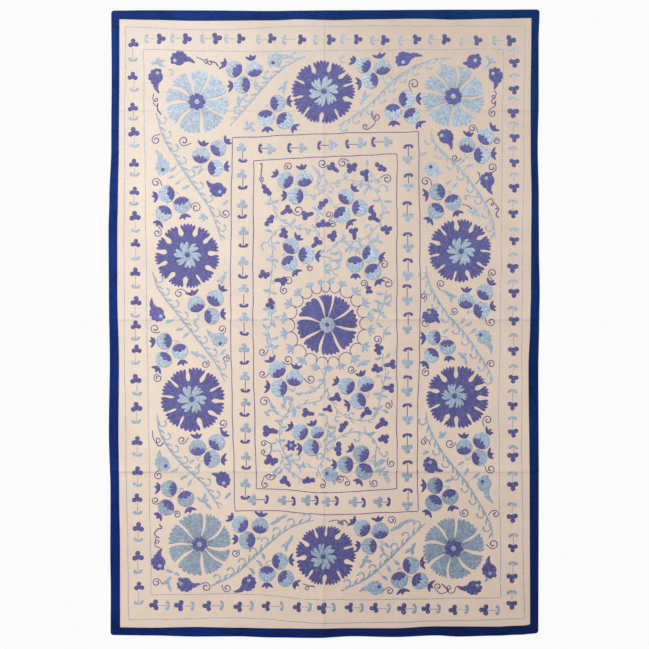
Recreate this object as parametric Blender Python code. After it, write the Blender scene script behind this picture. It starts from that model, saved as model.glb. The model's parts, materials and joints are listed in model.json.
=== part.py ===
"""Suzani: an embroidered cotton cover, made as such covers are.

Three loom-width panels of cream cotton are joined by two long seams, and a dark blue
cotton edging is folded over the raw edge on all four sides, with mitred corners.
The cloth lies flat and face up, with the soft creases that folding left in it.

Metres. +X runs across the width, +Y along the length towards the top edge, +Z up.
The origin is on the surface that the cloth lies on, below the middle of its outline.
"""

import math

import bmesh
import bpy

# Driving dimensions
WIDTH = 1.470
LENGTH = 2.143
CLOTH_THICKNESS = 0.0010
EDGING_THICKNESS = 0.0010
GAP = 0.0003
CORNER_RADIUS = 0.010
CLOTH_INSET = 0.006  # from the outline to the cloth's raw edge inside the fold
MM = 0.001

# The four sides, uneven as the real ones: how far the outline stands in from the
# outermost rectangle and how wide the edging shows, by the share of the side's length.
# Columns: share, inset in mm, edging width in mm. Left and right run from the bottom
# edge up, bottom and top run from the left edge across.
LEFT_SIDE = (
    (0.00, 6.8, 33.0),
    (0.07, 7.5, 32.0),
    (0.14, 5.8, 33.5),
    (0.23, 6.5, 30.0),
    (0.33, 1.0, 33.0),
    (0.44, 4.1, 31.5),
    (0.55, 1.0, 29.0),
    (0.65, 0.0, 30.0),
    (0.70, 2.7, 29.5),
    (0.78, 9.2, 26.0),
    (0.90, 10.6, 26.5),
    (1.00, 9.2, 28.0),
)
RIGHT_SIDE = (
    (0.00, 4.4, 28.5),
    (0.25, 3.1, 31.5),
    (0.43, 4.4, 34.0),
    (0.50, 1.7, 31.0),
    (0.55, 0.0, 30.0),
    (0.62, 2.4, 27.0),
    (0.70, 3.1, 25.0),
    (0.78, 6.5, 24.5),
    (0.86, 3.4, 28.0),
    (0.95, 3.4, 25.5),
    (1.00, 0.3, 28.0),
)
BOTTOM_SIDE = (
    (0.00, 9.9, 27.0),
    (0.10, 8.5, 27.0),
    (0.20, 4.8, 33.0),
    (0.30, 5.5, 30.0),
    (0.38, 1.7, 31.5),
    (0.48, 0.0, 32.0),
    (0.57, 5.8, 28.0),
    (0.66, 3.1, 30.5),
    (0.76, 8.5, 31.5),
    (0.81, 4.8, 35.0),
    (0.90, 7.8, 31.5),
    (0.95, 10.9, 31.5),
    (1.00, 16.0, 32.0),
)
TOP_SIDE = (
    (0.00, 3.8, 29.0),
    (0.10, 2.7, 33.0),
    (0.20, 3.1, 36.0),
    (0.38, 5.1, 32.5),
    (0.44, 4.0, 30.0),
    (0.52, 3.0, 33.5),
    (0.60, 2.5, 31.5),
    (0.72, 1.4, 30.5),
    (0.80, 0.7, 34.0),
    (0.90, 0.7, 31.0),
    (1.00, 0.0, 29.0),
)

# The seams between the panels: their place across the width at the bottom and top edge.
LEFT_SEAM = (-0.229, -0.2445)
RIGHT_SEAM = (0.2455, 0.2465)

# Creases left by folding. Columns: share of the length or width, height in mm.
CREASES_ACROSS = ((0.263, 2.2), (0.505, 2.4), (0.838, 1.2))
CREASE_ALONG = (0.500, 1.6)
CREASE_REACH = 0.030
CREASE_LINES = (-0.030, -0.015, 0.0, 0.015, 0.030)

# The cloth runs level inside the edging, which lifts it by the back leaf, and comes
# down to the surface past it.
LEVEL_MARGIN = 0.041
RAMP_END = 0.076
EDGE_LINES = (CLOTH_INSET, 0.040, 0.058, 0.077)

ROW_SPACING = 0.085
SIDE_COLUMNS = 4
MIDDLE_COLUMNS = 3
# Stations of an edging strip past its mitre. Columns: place of the outer point in corner
# radii, and how far past the mitre's inner end the inner point stands, in metres.
CORNER_STATIONS = ((0.6, 0.002), (1.0, 0.005))
CORNER_REST = 0.055  # where the stations run square across again
CLEAR_OF_CORNER = 0.065
MITRE_SLIP = GAP * math.sqrt(0.5)  # two strips, each moved this far, stand GAP apart

BACK_LEAF_TOP = EDGING_THICKNESS
CLOTH_LIFT = BACK_LEAF_TOP + GAP
FRONT_LEAF_BOTTOM = CLOTH_LIFT + CLOTH_THICKNESS + GAP
EDGING_HEIGHT = FRONT_LEAF_BOTTOM + EDGING_THICKNESS


def smooth(t):
    """Eases t from 0 to 1 with level ends."""
    t = min(max(t, 0.0), 1.0)
    return t * t * (3 - 2 * t)


def mix(a, b, t):
    return a + (b - a) * t


def read_side(side, share, column):
    """A side's inset (column 1) or edging width (column 2) at a share of its length, in metres."""
    share = min(max(share, 0.0), 1.0)
    for low, high in zip(side, side[1:]):
        if share <= high[0]:
            t = smooth((share - low[0]) / (high[0] - low[0]))
            return mix(low[column], high[column], t) * MM
    return side[-1][column] * MM


def left_x(v):
    return -WIDTH / 2 + read_side(LEFT_SIDE, v, 1)


def right_x(v):
    return WIDTH / 2 - read_side(RIGHT_SIDE, v, 1)


def bottom_y(x):
    return -LENGTH / 2 + read_side(BOTTOM_SIDE, x / WIDTH + 0.5, 1)


def top_y(x):
    return LENGTH / 2 - read_side(TOP_SIDE, x / WIDTH + 0.5, 1)


def row_y(x, v):
    """The place along the length of the row with share v, where it crosses x."""
    return mix(bottom_y(x), top_y(x), v)


def bump(distance, height):
    """The height of a crease at a distance from its line."""
    if abs(distance) >= CREASE_REACH:
        return 0.0
    return height * MM * (0.5 + 0.5 * math.cos(math.pi * distance / CREASE_REACH)) ** 2


def crease_height(u, v):
    """How far the creases hold the cloth up at shares u of the width and v of the length."""
    across = sum(bump((v - share) * LENGTH, height) for share, height in CREASES_ACROSS)
    along = bump((u - CREASE_ALONG[0]) * WIDTH, CREASE_ALONG[1])
    return max(across, along)


def edge_lift(x, y, v):
    """How far the edging's back leaf holds the cloth up near the outline."""
    distance = min(x - left_x(v), right_x(v) - x, y - bottom_y(x), top_y(x) - y)
    return CLOTH_LIFT * (1 - smooth((distance - LEVEL_MARGIN) / (RAMP_END - LEVEL_MARGIN)))


def row_shares():
    """The rows of the cloth's grid as shares of its length, closer at the edges and creases."""
    fixed = [inset / LENGTH for inset in EDGE_LINES]
    fixed += [1 - share for share in fixed]
    for share, _ in CREASES_ACROSS:
        fixed += [share + offset / LENGTH for offset in CREASE_LINES]
    fixed.sort()
    rows = [fixed[0]]
    for low, high in zip(fixed, fixed[1:]):
        steps = max(1, round((high - low) * LENGTH / ROW_SPACING))
        rows += [mix(low, high, (k + 1) / steps) for k in range(steps)]
    return rows


def spread(start, end, count):
    """count places after start, evenly spaced up to and including end."""
    return [mix(start, end, (k + 1) / count) for k in range(count)]


def left_columns(v):
    edge = [left_x(v) + inset for inset in EDGE_LINES]
    return edge + spread(edge[-1], mix(*LEFT_SEAM, v) - GAP / 2, SIDE_COLUMNS)


def middle_columns(v):
    crease = mix(left_x(v), right_x(v), CREASE_ALONG[0])
    creased = [crease + offset for offset in CREASE_LINES]
    seam = mix(*LEFT_SEAM, v) + GAP / 2
    before = [seam] + spread(seam, creased[0], MIDDLE_COLUMNS)
    return before + creased[1:] + spread(creased[-1], mix(*RIGHT_SEAM, v) - GAP / 2, MIDDLE_COLUMNS)


def right_columns(v):
    edge = [right_x(v) - inset for inset in reversed(EDGE_LINES)]
    seam = mix(*RIGHT_SEAM, v) + GAP / 2
    return [seam] + spread(seam, edge[0], SIDE_COLUMNS) + edge[1:]


def make_material(name, colour, roughness):
    material = bpy.data.materials.new(name)
    material.use_nodes = True
    shader = material.node_tree.nodes["Principled BSDF"]
    shader.inputs["Base Color"].default_value = (*colour, 1)
    shader.inputs["Roughness"].default_value = roughness
    shader.inputs["Metallic"].default_value = 0.0
    return material


def add_object(name, bm, material):
    mesh = bpy.data.meshes.new(name)
    bmesh.ops.recalc_face_normals(bm, faces=bm.faces)
    bm.to_mesh(mesh)
    bm.free()
    mesh.materials.append(material)
    piece = bpy.data.objects.new(name, mesh)
    bpy.context.scene.collection.objects.link(piece)
    return piece


def make_panel(name, columns, material):
    """One loom width of the ground cloth: a grid laid on the creases, given its thickness upwards."""
    rows = row_shares()
    across, along = len(columns(0)) - 1, len(rows) - 1
    bm = bmesh.new()
    bmesh.ops.create_grid(bm, x_segments=across, y_segments=along, size=1)
    for vertex in bm.verts:
        i = round((vertex.co.x + 1) / 2 * across)
        v = rows[round((vertex.co.y + 1) / 2 * along)]
        x = columns(v)[i]
        y = row_y(x, v)
        u = (x - left_x(v)) / (right_x(v) - left_x(v))
        vertex.co = (x, y, edge_lift(x, y, v) + crease_height(u, v))
    grown = bmesh.ops.extrude_face_region(bm, geom=bm.faces[:])
    upper = [item for item in grown["geom"] if isinstance(item, bmesh.types.BMVert)]
    bmesh.ops.translate(bm, verts=upper, vec=(0, 0, CLOTH_THICKNESS))
    return add_object(name, bm, material)


def section_points(outer, inner, lift):
    """The edging's folded section between an outer and an inner point: a U that opens inwards."""
    width = math.dist(outer, inner)
    across = (
        (EDGING_THICKNESS, 0.0),
        (width, 0.0),
        (width, BACK_LEAF_TOP),
        (EDGING_THICKNESS, BACK_LEAF_TOP),
        (EDGING_THICKNESS, FRONT_LEAF_BOTTOM),
        (width, FRONT_LEAF_BOTTOM),
        (width, EDGING_HEIGHT),
        (EDGING_THICKNESS, EDGING_HEIGHT),
        (0.0, EDGING_HEIGHT - EDGING_THICKNESS),
        (0.0, EDGING_THICKNESS),
    )
    return [
        (mix(outer[0], inner[0], s / width), mix(outer[1], inner[1], s / width), z + lift)
        for s, z in across
    ]


def corner_points(across, along):
    """The outer and inner point of the mitre at a corner. across is -1 left or 1 right, along -1 or 1."""
    v = (along + 1) / 2
    x = left_x(v) if across < 0 else right_x(v)
    y = bottom_y(x) if along < 0 else top_y(x)
    upright = read_side(LEFT_SIDE if across < 0 else RIGHT_SIDE, v, 2)
    level = read_side(BOTTOM_SIDE if along < 0 else TOP_SIDE, x / WIDTH + 0.5, 2)
    rounding = CORNER_RADIUS * (1 - math.sqrt(0.5))
    outer = (x - across * rounding, y - along * rounding)
    return outer, (x - across * upright, y - along * level)


def moved(point, x=0.0, y=0.0):
    return point[0] + x, point[1] + y


def round_corner(width):
    """Stations past a mitre: the outer point's place along the side, the inner point's, and the inset."""
    radius = CORNER_RADIUS
    stations = [
        (turn * radius, width + step, radius * (1 - math.sqrt(1 - (1 - turn) ** 2)))
        for turn, step in CORNER_STATIONS
    ]
    return stations + [(CORNER_REST, CORNER_REST, 0.0)]


def make_edging(name, stations, material):
    """One edging strip: the folded section carried from station to station, closed at both mitres."""
    bm = bmesh.new()
    rings = []
    for outer, inner, lift in stations:
        corners = [bm.verts.new(point) for point in section_points(outer, inner, lift)]
        rings.append([bm.edges.new(pair) for pair in zip(corners, corners[1:] + corners[:1])])
    for ring, following in zip(rings, rings[1:]):
        bmesh.ops.bridge_loops(bm, edges=ring + following)
    bmesh.ops.triangle_fill(bm, edges=rings[0], use_beauty=True)
    bmesh.ops.triangle_fill(bm, edges=rings[-1], use_beauty=True)
    bmesh.ops.triangulate(bm, faces=bm.faces[:])
    return add_object(name, bm, material)


def side_stations(across):
    """Stations of the left (-1) or right (1) edging, from the bottom mitre to the top one."""
    side = LEFT_SIDE if across < 0 else RIGHT_SIDE
    outline_x = left_x if across < 0 else right_x

    def station(v_outer, v_inner, inset):
        outer_x = outline_x(v_outer) - across * inset
        inner_x = outline_x(v_inner) - across * read_side(side, v_inner, 2)
        outer = (outer_x, row_y(outer_x, v_outer))
        return outer, (inner_x, row_y(inner_x, v_inner)), crease_height((across + 1) / 2, v_inner)

    (low_outer, low_inner), (high_outer, high_inner) = (corner_points(across, end) for end in (-1, 1))
    low_width = low_inner[1] - row_y(low_inner[0], 0)
    high_width = row_y(high_inner[0], 1) - high_inner[1]
    stations = [(moved(low_outer, y=MITRE_SLIP), moved(low_inner, y=MITRE_SLIP), 0.0)]
    stations += [station(a / LENGTH, b / LENGTH, inset) for a, b, inset in round_corner(low_width)]
    between = [v for v in row_shares() if CLEAR_OF_CORNER < v * LENGTH < LENGTH - CLEAR_OF_CORNER]
    stations += [station(v, v, 0.0) for v in between]
    stations += [
        station(1 - a / LENGTH, 1 - b / LENGTH, inset)
        for a, b, inset in reversed(round_corner(high_width))
    ]
    stations.append((moved(high_outer, y=-MITRE_SLIP), moved(high_inner, y=-MITRE_SLIP), 0.0))
    return stations


def end_stations(along):
    """Stations of the bottom (-1) or top (1) edging, from the left mitre to the right one."""
    side = BOTTOM_SIDE if along < 0 else TOP_SIDE
    outline_y = bottom_y if along < 0 else top_y
    v = (along + 1) / 2
    start_x, end_x = left_x(v), right_x(v)

    def station(x_outer, x_inner, inset):
        inner_y = outline_y(x_inner) - along * read_side(side, x_inner / WIDTH + 0.5, 2)
        u = (x_inner - start_x) / (end_x - start_x)
        return (x_outer, outline_y(x_outer) - along * inset), (x_inner, inner_y), crease_height(u, v)

    (left_outer, left_inner), (right_outer, right_inner) = (corner_points(end, along) for end in (-1, 1))
    columns = left_columns(v) + middle_columns(v)[1:] + right_columns(v)[1:]
    stations = [(moved(left_outer, x=MITRE_SLIP), moved(left_inner, x=MITRE_SLIP), 0.0)]
    stations += [
        station(start_x + a, start_x + b, inset) for a, b, inset in round_corner(left_inner[0] - start_x)
    ]
    stations += [
        station(x, x, 0.0) for x in columns if start_x + CLEAR_OF_CORNER < x < end_x - CLEAR_OF_CORNER
    ]
    stations += [
        station(end_x - a, end_x - b, inset)
        for a, b, inset in reversed(round_corner(end_x - right_inner[0]))
    ]
    stations.append((moved(right_outer, x=-MITRE_SLIP), moved(right_inner, x=-MITRE_SLIP), 0.0))
    return stations


def main():
    for leftover in list(bpy.data.objects):
        bpy.data.objects.remove(leftover)
    cream = make_material("cream_cotton", (0.82, 0.69, 0.56), 0.9)
    blue = make_material("blue_cotton_edging", (0.015, 0.045, 0.19), 0.75)
    make_panel("ground_panel_left", left_columns, cream)
    make_panel("ground_panel_middle", middle_columns, cream)
    make_panel("ground_panel_right", right_columns, cream)
    make_edging("edging_left", side_stations(-1), blue)
    make_edging("edging_right", side_stations(1), blue)
    make_edging("edging_bottom", end_stations(-1), blue)
    make_edging("edging_top", end_stations(1), blue)


main()
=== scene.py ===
"""Looks of the suzani: three loom widths of cream cotton, their blue edging and the thread sewn on them."""

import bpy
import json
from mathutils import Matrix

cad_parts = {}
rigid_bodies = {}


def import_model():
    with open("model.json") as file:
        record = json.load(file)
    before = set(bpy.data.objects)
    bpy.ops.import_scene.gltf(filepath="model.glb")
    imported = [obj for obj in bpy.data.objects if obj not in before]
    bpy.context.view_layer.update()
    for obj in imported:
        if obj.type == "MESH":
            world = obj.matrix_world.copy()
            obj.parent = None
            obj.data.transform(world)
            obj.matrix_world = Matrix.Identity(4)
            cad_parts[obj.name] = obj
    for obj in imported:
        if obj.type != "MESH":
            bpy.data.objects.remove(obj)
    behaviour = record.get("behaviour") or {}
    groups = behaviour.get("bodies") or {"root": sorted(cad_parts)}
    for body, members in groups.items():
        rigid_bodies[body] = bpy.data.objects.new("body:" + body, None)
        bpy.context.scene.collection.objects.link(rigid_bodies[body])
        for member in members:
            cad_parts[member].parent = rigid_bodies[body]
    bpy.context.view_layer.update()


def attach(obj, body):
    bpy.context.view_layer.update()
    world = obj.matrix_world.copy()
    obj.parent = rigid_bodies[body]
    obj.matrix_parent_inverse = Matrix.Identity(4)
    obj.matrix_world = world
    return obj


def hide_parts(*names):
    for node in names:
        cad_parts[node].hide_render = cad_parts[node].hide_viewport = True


bl_info = {
    "name": "Suzani cover",
    "version": (1, 0, 0),
    "blender": (4, 5, 0),
    "location": "View3D > Sidebar > Suzani",
    "description": "Sews the embroidery of a suzani on its packed cloth",
    "category": "Object",
}

import json
import math
from functools import partial

import bpy
import numpy as np
from bpy.props import FloatProperty, FloatVectorProperty, PointerProperty

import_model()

# The cloth, with the same values as the part's source, in metres.
WIDTH = 1.470
LENGTH = 2.143
CLOTH = 0.0010
GAP = 0.0003
CLOTH_INSET = 0.006
CORNER_RADIUS = 0.010
CLOTH_LIFT = 0.0013
CREASE_REACH = 0.030
LEVEL_MARGIN = 0.041
RAMP_END = 0.076
# Share of the side, inset in mm, edging width in mm. Upright sides from the bottom, level ones from the left.
LEFT_SIDE = (
    (0.00, 6.8, 33), (0.07, 7.5, 32), (0.14, 5.8, 33.5), (0.23, 6.5, 30), (0.33, 1.0, 33), (0.44, 4.1, 31.5),
    (0.55, 1.0, 29), (0.65, 0.0, 30), (0.70, 2.7, 29.5), (0.78, 9.2, 26), (0.90, 10.6, 26.5), (1.00, 9.2, 28),
)
RIGHT_SIDE = (
    (0.00, 4.4, 28.5), (0.25, 3.1, 31.5), (0.43, 4.4, 34), (0.50, 1.7, 31), (0.55, 0.0, 30), (0.62, 2.4, 27),
    (0.70, 3.1, 25), (0.78, 6.5, 24.5), (0.86, 3.4, 28), (0.95, 3.4, 25.5), (1.00, 0.3, 28),
)
BOTTOM_SIDE = (
    (0.00, 9.9, 27), (0.10, 8.5, 27), (0.20, 4.8, 33), (0.30, 5.5, 30), (0.38, 1.7, 31.5), (0.48, 0.0, 32),
    (0.57, 5.8, 28), (0.66, 3.1, 30.5), (0.76, 8.5, 31.5), (0.81, 4.8, 35), (0.90, 7.8, 31.5),
    (0.95, 10.9, 31.5), (1.00, 16.0, 32),
)
TOP_SIDE = (
    (0.00, 3.8, 29), (0.10, 2.7, 33), (0.20, 3.1, 36), (0.38, 5.1, 32.5), (0.44, 4.0, 30), (0.52, 3.0, 33.5),
    (0.60, 2.5, 31.5), (0.72, 1.4, 30.5), (0.80, 0.7, 34), (0.90, 0.7, 31), (1.00, 0.0, 29),
)
LEFT_SEAM = (-0.229, -0.2445)
RIGHT_SEAM = (0.2455, 0.2465)
CREASES_ACROSS = ((0.263, 2.2), (0.505, 2.4), (0.838, 1.2))
CREASE_ALONG = (0.500, 1.6)

# One chart unit on the cloth in metres, and the chart's place over the middle of the cloth.
UNIT = 0.00341
CHART_MIDDLE = (324.1, 323.7)


def smooth(t):
    t = np.clip(t, 0.0, 1.0)
    return t * t * (3 - 2 * t)


def mix(a, b, t):
    return a + (b - a) * t


def read_side(side, share, column):
    """A side's inset or edging width at shares of its length, in metres."""
    rows = np.array(side)
    share = np.clip(share, 0.0, 1.0)
    i = np.clip(np.searchsorted(rows[:, 0], share, side="right") - 1, 0, len(rows) - 2)
    t = smooth((share - rows[i, 0]) / (rows[i + 1, 0] - rows[i, 0]))
    return mix(rows[i, column], rows[i + 1, column], t) * 0.001


def left_x(v):
    return -WIDTH / 2 + read_side(LEFT_SIDE, v, 1)


def right_x(v):
    return WIDTH / 2 - read_side(RIGHT_SIDE, v, 1)


def bottom_y(x):
    return -LENGTH / 2 + read_side(BOTTOM_SIDE, x / WIDTH + 0.5, 1)


def top_y(x):
    return LENGTH / 2 - read_side(TOP_SIDE, x / WIDTH + 0.5, 1)


def row_y(x, v):
    return mix(bottom_y(x), top_y(x), v)


def bump(distance, height):
    """The height of a crease at a distance from its line."""
    wave = (0.5 + 0.5 * np.cos(np.pi * distance / CREASE_REACH)) ** 2
    return np.where(np.abs(distance) < CREASE_REACH, height * 0.001 * wave, 0.0)


def crease_height(u, v):
    across = sum(bump((v - share) * LENGTH, height) for share, height in CREASES_ACROSS)
    return np.maximum(across, bump((u - CREASE_ALONG[0]) * WIDTH, CREASE_ALONG[1]))


def drape(x, y):
    """Height of the cloth's face at places on it: its lift at the edging, creases, seams and soft waves."""
    v = (y - bottom_y(x)) / (top_y(x) - bottom_y(x))
    left, right = left_x(v), right_x(v)
    edge = np.minimum(np.minimum(x - left, right - x), np.minimum(y - bottom_y(x), top_y(x) - y))
    z = CLOTH + CLOTH_LIFT * (1 - smooth((edge - LEVEL_MARGIN) / (RAMP_END - LEVEL_MARGIN)))
    z = z + crease_height((x - left) / (right - left), v)
    # Soft waves of a folded and spread cloth, which die out at the edging.
    calm = smooth((edge - 0.03) / 0.05)
    waves = 0.5 * np.sin(9 * x + 3.1 * y + 0.7) * np.sin(13 * y - 4 * x) + 0.35 * np.sin(31 * x - 11 * y)
    waves += 0.25 * np.sin(47 * y + 9 * x + 1.3) + 0.2 * np.sin(71 * x + 23 * y) * np.sin(17 * y)
    z = z + calm * 0.0004 * (1 + waves)
    for seam in (LEFT_SEAM, RIGHT_SEAM):
        z = z - 0.0001 * np.exp(-((x - mix(*seam, v)) / 0.0022) ** 2)
    return z


def at(px, py):
    """A place of the chart on the cloth, in metres."""
    return np.array(((px - CHART_MIDDLE[0]) * UNIT, (CHART_MIDDLE[1] - py) * UNIT))


def aim(degrees):
    return np.array((math.cos(math.radians(degrees)), math.sin(math.radians(degrees))))


def heading(v):
    """The direction of a vector in degrees."""
    return math.degrees(math.atan2(v[1], v[0]))


def left_of(v):
    """A vector turned a quarter turn to its left."""
    return np.array((-v[1], v[0]))


def units(*widths):
    """Widths in chart units, in metres."""
    return tuple(w * UNIT for w in widths)


def measured(path):
    """How far each point of a path is along it, and the path's direction there."""
    run = np.concatenate(((0,), np.cumsum(np.hypot(*np.diff(path, axis=0).T))))
    along = np.gradient(path, axis=0)
    return run, along / np.maximum(np.hypot(*along.T), 1e-9)[:, None]


def new_object(name, data):
    made = bpy.data.objects.new(name, data)
    bpy.context.scene.collection.objects.link(made)
    return made


class Sewing:
    """Stitched patches that become one piece. Each patch is a grid: rows of thread by steps along them."""

    EDGE = -0.0004

    def __init__(self):
        self.points, self.faces, self.stitch, self.tone, self.count = [], [], [], [], 0

    def grid(self, x, y, h, u, v, tone, ring=False):
        m, n = x.shape
        z = drape(x, y) + h
        a = np.arange(m if ring else m - 1)[:, None] * n + np.arange(n - 1)
        b = (a + n) % (m * n)
        quads = np.stack((a, b, b + 1, a + 1), -1).reshape(-1, 4)
        px, py = x.ravel()[quads], y.ravel()[quads]
        turn = (px * np.roll(py, -1, 1) - np.roll(px, -1, 1) * py).sum()
        if turn < 0:
            quads = quads[:, ::-1]
        self.points.append(np.stack((x, y, z), -1).reshape(-1, 3))
        self.stitch.append(np.stack((u, v), -1).reshape(-1, 2))
        self.tone.append(np.broadcast_to(tone, x.shape).ravel())
        self.faces.append(quads + self.count)
        self.count += m * n

    def rows(self, x, y, lift=0.0009, ridge=0.0005, tone=0.5, sides=None, pitch=0.0027):
        """A patch whose first axis steps over rows, trough and crest in turn."""
        m, n = x.shape
        h = np.full((m, n), lift) + ridge * (np.arange(m) % 2)[:, None]
        h[0] = self.EDGE if sides is None else sides[0]
        h[-1] = self.EDGE if sides is None else sides[-1]
        h[:, 0] = h[:, -1] = self.EDGE
        tone = tone + 0.30 * np.sin(np.arange(m) * 1.3 + self.count)[:, None]
        u = np.broadcast_to(np.arange(m)[:, None] * pitch / 2, (m, n))
        steps = np.hypot(np.diff(x, axis=1), np.diff(y, axis=1))
        v = np.concatenate((np.zeros((m, 1)), np.cumsum(steps, 1)), 1)
        self.grid(x, y, h, u, v, tone)

    def line(self, points, width, height=0.0010, tone=0.5, step=0.0030):
        """Chain stitches through points, each stitch swelling and closing. width is one value or several."""
        path, share = smooth_path(points, step)
        wide = np.interp(share, np.linspace(0, 1, np.size(width)), np.atleast_1d(width))
        wide = wide * (1 + 0.16 * np.where(np.arange(len(share)) % 2, 1, -1))
        run, along = measured(path)
        side = np.stack((-along[:, 1], along[:, 0]), 1)
        span = np.array((-0.5, 0.0, 0.5))
        x = path[:, 0] + span[:, None] * wide * side[:, 0]
        y = path[:, 1] + span[:, None] * wide * side[:, 1]
        h = np.full(x.shape, self.EDGE)
        h[1] = height * (1 + 0.15 * np.where(np.arange(len(share)) % 2, 1, -1))
        h[1, 0] = h[1, -1] = 0.0001
        u = np.broadcast_to(span[:, None] * wide, x.shape)
        self.grid(x, y, h, u, np.broadcast_to(run, x.shape), tone)

    def lobed(self, centre, circles, tone=0.5, height=0.0011, samples=30, rings=3):
        """A patch sewn round and round whose outline is that of circles (x, y, radius) about its centre."""
        turn = np.arange(samples) / samples * 2 * np.pi
        ray = np.stack((np.cos(turn), np.sin(turn)), 1)
        reach = np.zeros(samples)
        for cx, cy, radius in circles:
            along = ray @ np.array((cx, cy))
            root = radius**2 - (cx * cx + cy * cy - along**2)
            far = np.where(root > 0, along + np.sqrt(np.maximum(root, 0)), 0)
            reach = np.maximum(reach, far)
        ring = np.concatenate(((0.004,), (np.arange(2 * rings) + 1) / (2 * rings)))
        r = reach[:, None] * ring
        x = centre[0] + r * ray[:, :1]
        y = centre[1] + r * ray[:, 1:]
        h = np.where(np.arange(2 * rings + 1) % 2, height * 0.65, height) + np.zeros_like(r)
        h[:, -1] = self.EDGE
        around = np.broadcast_to(turn[:, None] * reach.mean(), r.shape)
        self.grid(x, y, h, r, around, tone, ring=True)

    def finish(self, name, material, slot):
        mesh = bpy.data.meshes.new(name)
        points, faces = np.concatenate(self.points), np.concatenate(self.faces)
        mesh.from_pydata(points.tolist(), [], faces.tolist())
        corner = faces.ravel()
        layers = {"OFBake": points[:, :2] / LENGTH + 0.5, "stitch": np.concatenate(self.stitch)}
        for label, values in layers.items():
            layer = mesh.uv_layers.new(name=label)
            layer.data.foreach_set("uv", values[corner].astype(np.float32).ravel())
        tone = mesh.attributes.new("tone", "FLOAT", "POINT")
        tone.data.foreach_set("value", np.concatenate(self.tone).astype(np.float32))
        mesh.materials.append(material)
        mesh.polygons.foreach_set("use_smooth", np.ones(len(faces), bool))
        piece = new_object(name, mesh)
        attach(piece, "root")
        return piece


def smooth_path(points, step):
    """Places every step along a smooth curve through points, and their shares of its length."""
    p = np.array(points, float)
    if len(p) == 2:
        p = np.stack((p[0], (p[0] + p[1]) / 2, p[1]))
    ends = np.concatenate((2 * p[:1] - p[1:2], p, 2 * p[-1:] - p[-2:-1]))
    t = np.linspace(0, 1, 9)[:-1, None]
    parts = []
    for a, b, c, d in zip(ends, ends[1:], ends[2:], ends[3:]):
        square, cube = 2 * a - 5 * b + 4 * c - d, 3 * b - a - 3 * c + d
        parts.append(0.5 * (2 * b + (c - a) * t + square * t**2 + cube * t**3))
    fine = np.concatenate(parts + [p[-1:]])
    run, _ = measured(fine)
    share = np.linspace(0, 1, max(4, int(round(run[-1] / step)) + 1))
    return np.stack([np.interp(share * run[-1], run, fine[:, k]) for k in (0, 1)], 1), share


def turned(offsets, degrees, scale=UNIT):
    """Offsets (along the aim, to its left) in chart units, turned to an aim, in metres."""
    a = aim(degrees)
    return [scale * (s * a + t * left_of(a)) for s, t in offsets]


def tooth(f, count, sharp=1.0):
    """A row of count teeth over 0 to 1, from 0 in the clefts to 1 on the tips."""
    wave = np.abs(np.sin(np.pi * f * count))
    return wave**sharp


def petal(piece, centre, inner, outer, edges, gaps, steps, tone, lift=0.0009, pitch=0.0024):
    """One petal, sewn in rows from the inner to the outer radius. Its two edges are directions and its two
    gaps are widths, all of them functions of the radius."""
    low, high = edges
    low_gap, high_gap = gaps
    middle = (inner + outer.max()) * 0.55
    wide = (high(middle) - low(middle)) * middle
    m = 2 * max(2, int(round(wide / pitch))) + 1
    f = np.linspace(0, 1, m)[:, None]
    rim = np.interp(f, np.linspace(0, 1, len(outer)), outer)
    r = inner + (rim - inner) * np.linspace(0, 1, steps)
    turn = mix(low(r) + low_gap(r) / 2 / r, high(r) - high_gap(r) / 2 / r, f)
    # Where there is no gap, a petal joins its neighbour and its side stays up.
    sides = [np.where(gap(row) > 0, Sewing.EDGE, lift) for gap, row in ((low_gap, r[0]), (high_gap, r[-1]))]
    x, y = centre[0] + r * np.cos(turn), centre[1] + r * np.sin(turn)
    piece.rows(x, y, lift=lift, tone=tone, sides=sides, pitch=pitch)


def between(inner_angle, outer_angle, r0, r1, bend=1.0, bulge=0.0):
    """The direction of a gap that turns from one angle to another between two radii, bulging halfway."""
    a, b, side = math.radians(inner_angle), math.radians(outer_angle), math.radians(bulge)

    def direction(r):
        t = np.clip((r - r0) / (r1 - r0), 0, 1.2)
        return a + (b - a) * t**bend + side * np.sin(math.pi * np.minimum(t, 1))

    return direction


def whole_turn(angles):
    """Angles in falling order, each at most a turn below the last, and the first again a turn lower."""
    out = [angles[0]]
    for angle in angles[1:]:
        while angle > out[-1]:
            angle -= 360
        while angle < out[-1] - 360:
            angle += 360
        out.append(angle)
    return out + [out[0] - 360]


def swirl_rosette(piece, place, radius, rims, rings, ring_radius, tone, seed, teeth=6, depth=2.4, slim=1.0):
    """Petals that swirl out of the middle, parted by bent gaps of uneven width, with toothed rims."""
    rng = np.random.default_rng(seed)
    centre, big, small = at(*place), radius * UNIT, ring_radius * UNIT
    rims, rings = whole_turn(rims), whole_turn(rings)

    def slit(width):
        def gap(r):
            t = np.clip((r - small) / (big - small), 0, 1)
            return width * UNIT * (0.30 + 0.7 * np.sin(0.75 * math.pi * t))

        return gap

    edges = [between(b, a, small, big, 1.1, -4) for a, b in zip(rims, rings)]
    gaps = [slit(rng.uniform(2.3, 4.2) * slim) for _ in edges[1:]]
    gaps.append(gaps[0])
    for k in range(len(edges) - 1):
        share = np.linspace(0, 1, 90)
        count = teeth - int(rng.integers(0, 2))
        rim = big * (0.985 + 0.025 * np.sin(math.pi * share)) - depth * UNIT * (1 - tooth(share, count, 0.8))
        rim -= 1.2 * UNIT * (smooth((share - 0.94) / 0.06) + smooth((0.06 - share) / 0.06))
        shade = tone + rng.uniform(-0.18, 0.18)
        petal(piece, centre, small * 0.8, rim, (edges[k + 1], edges[k]), (gaps[k + 1], gaps[k]), 15, shade)


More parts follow.
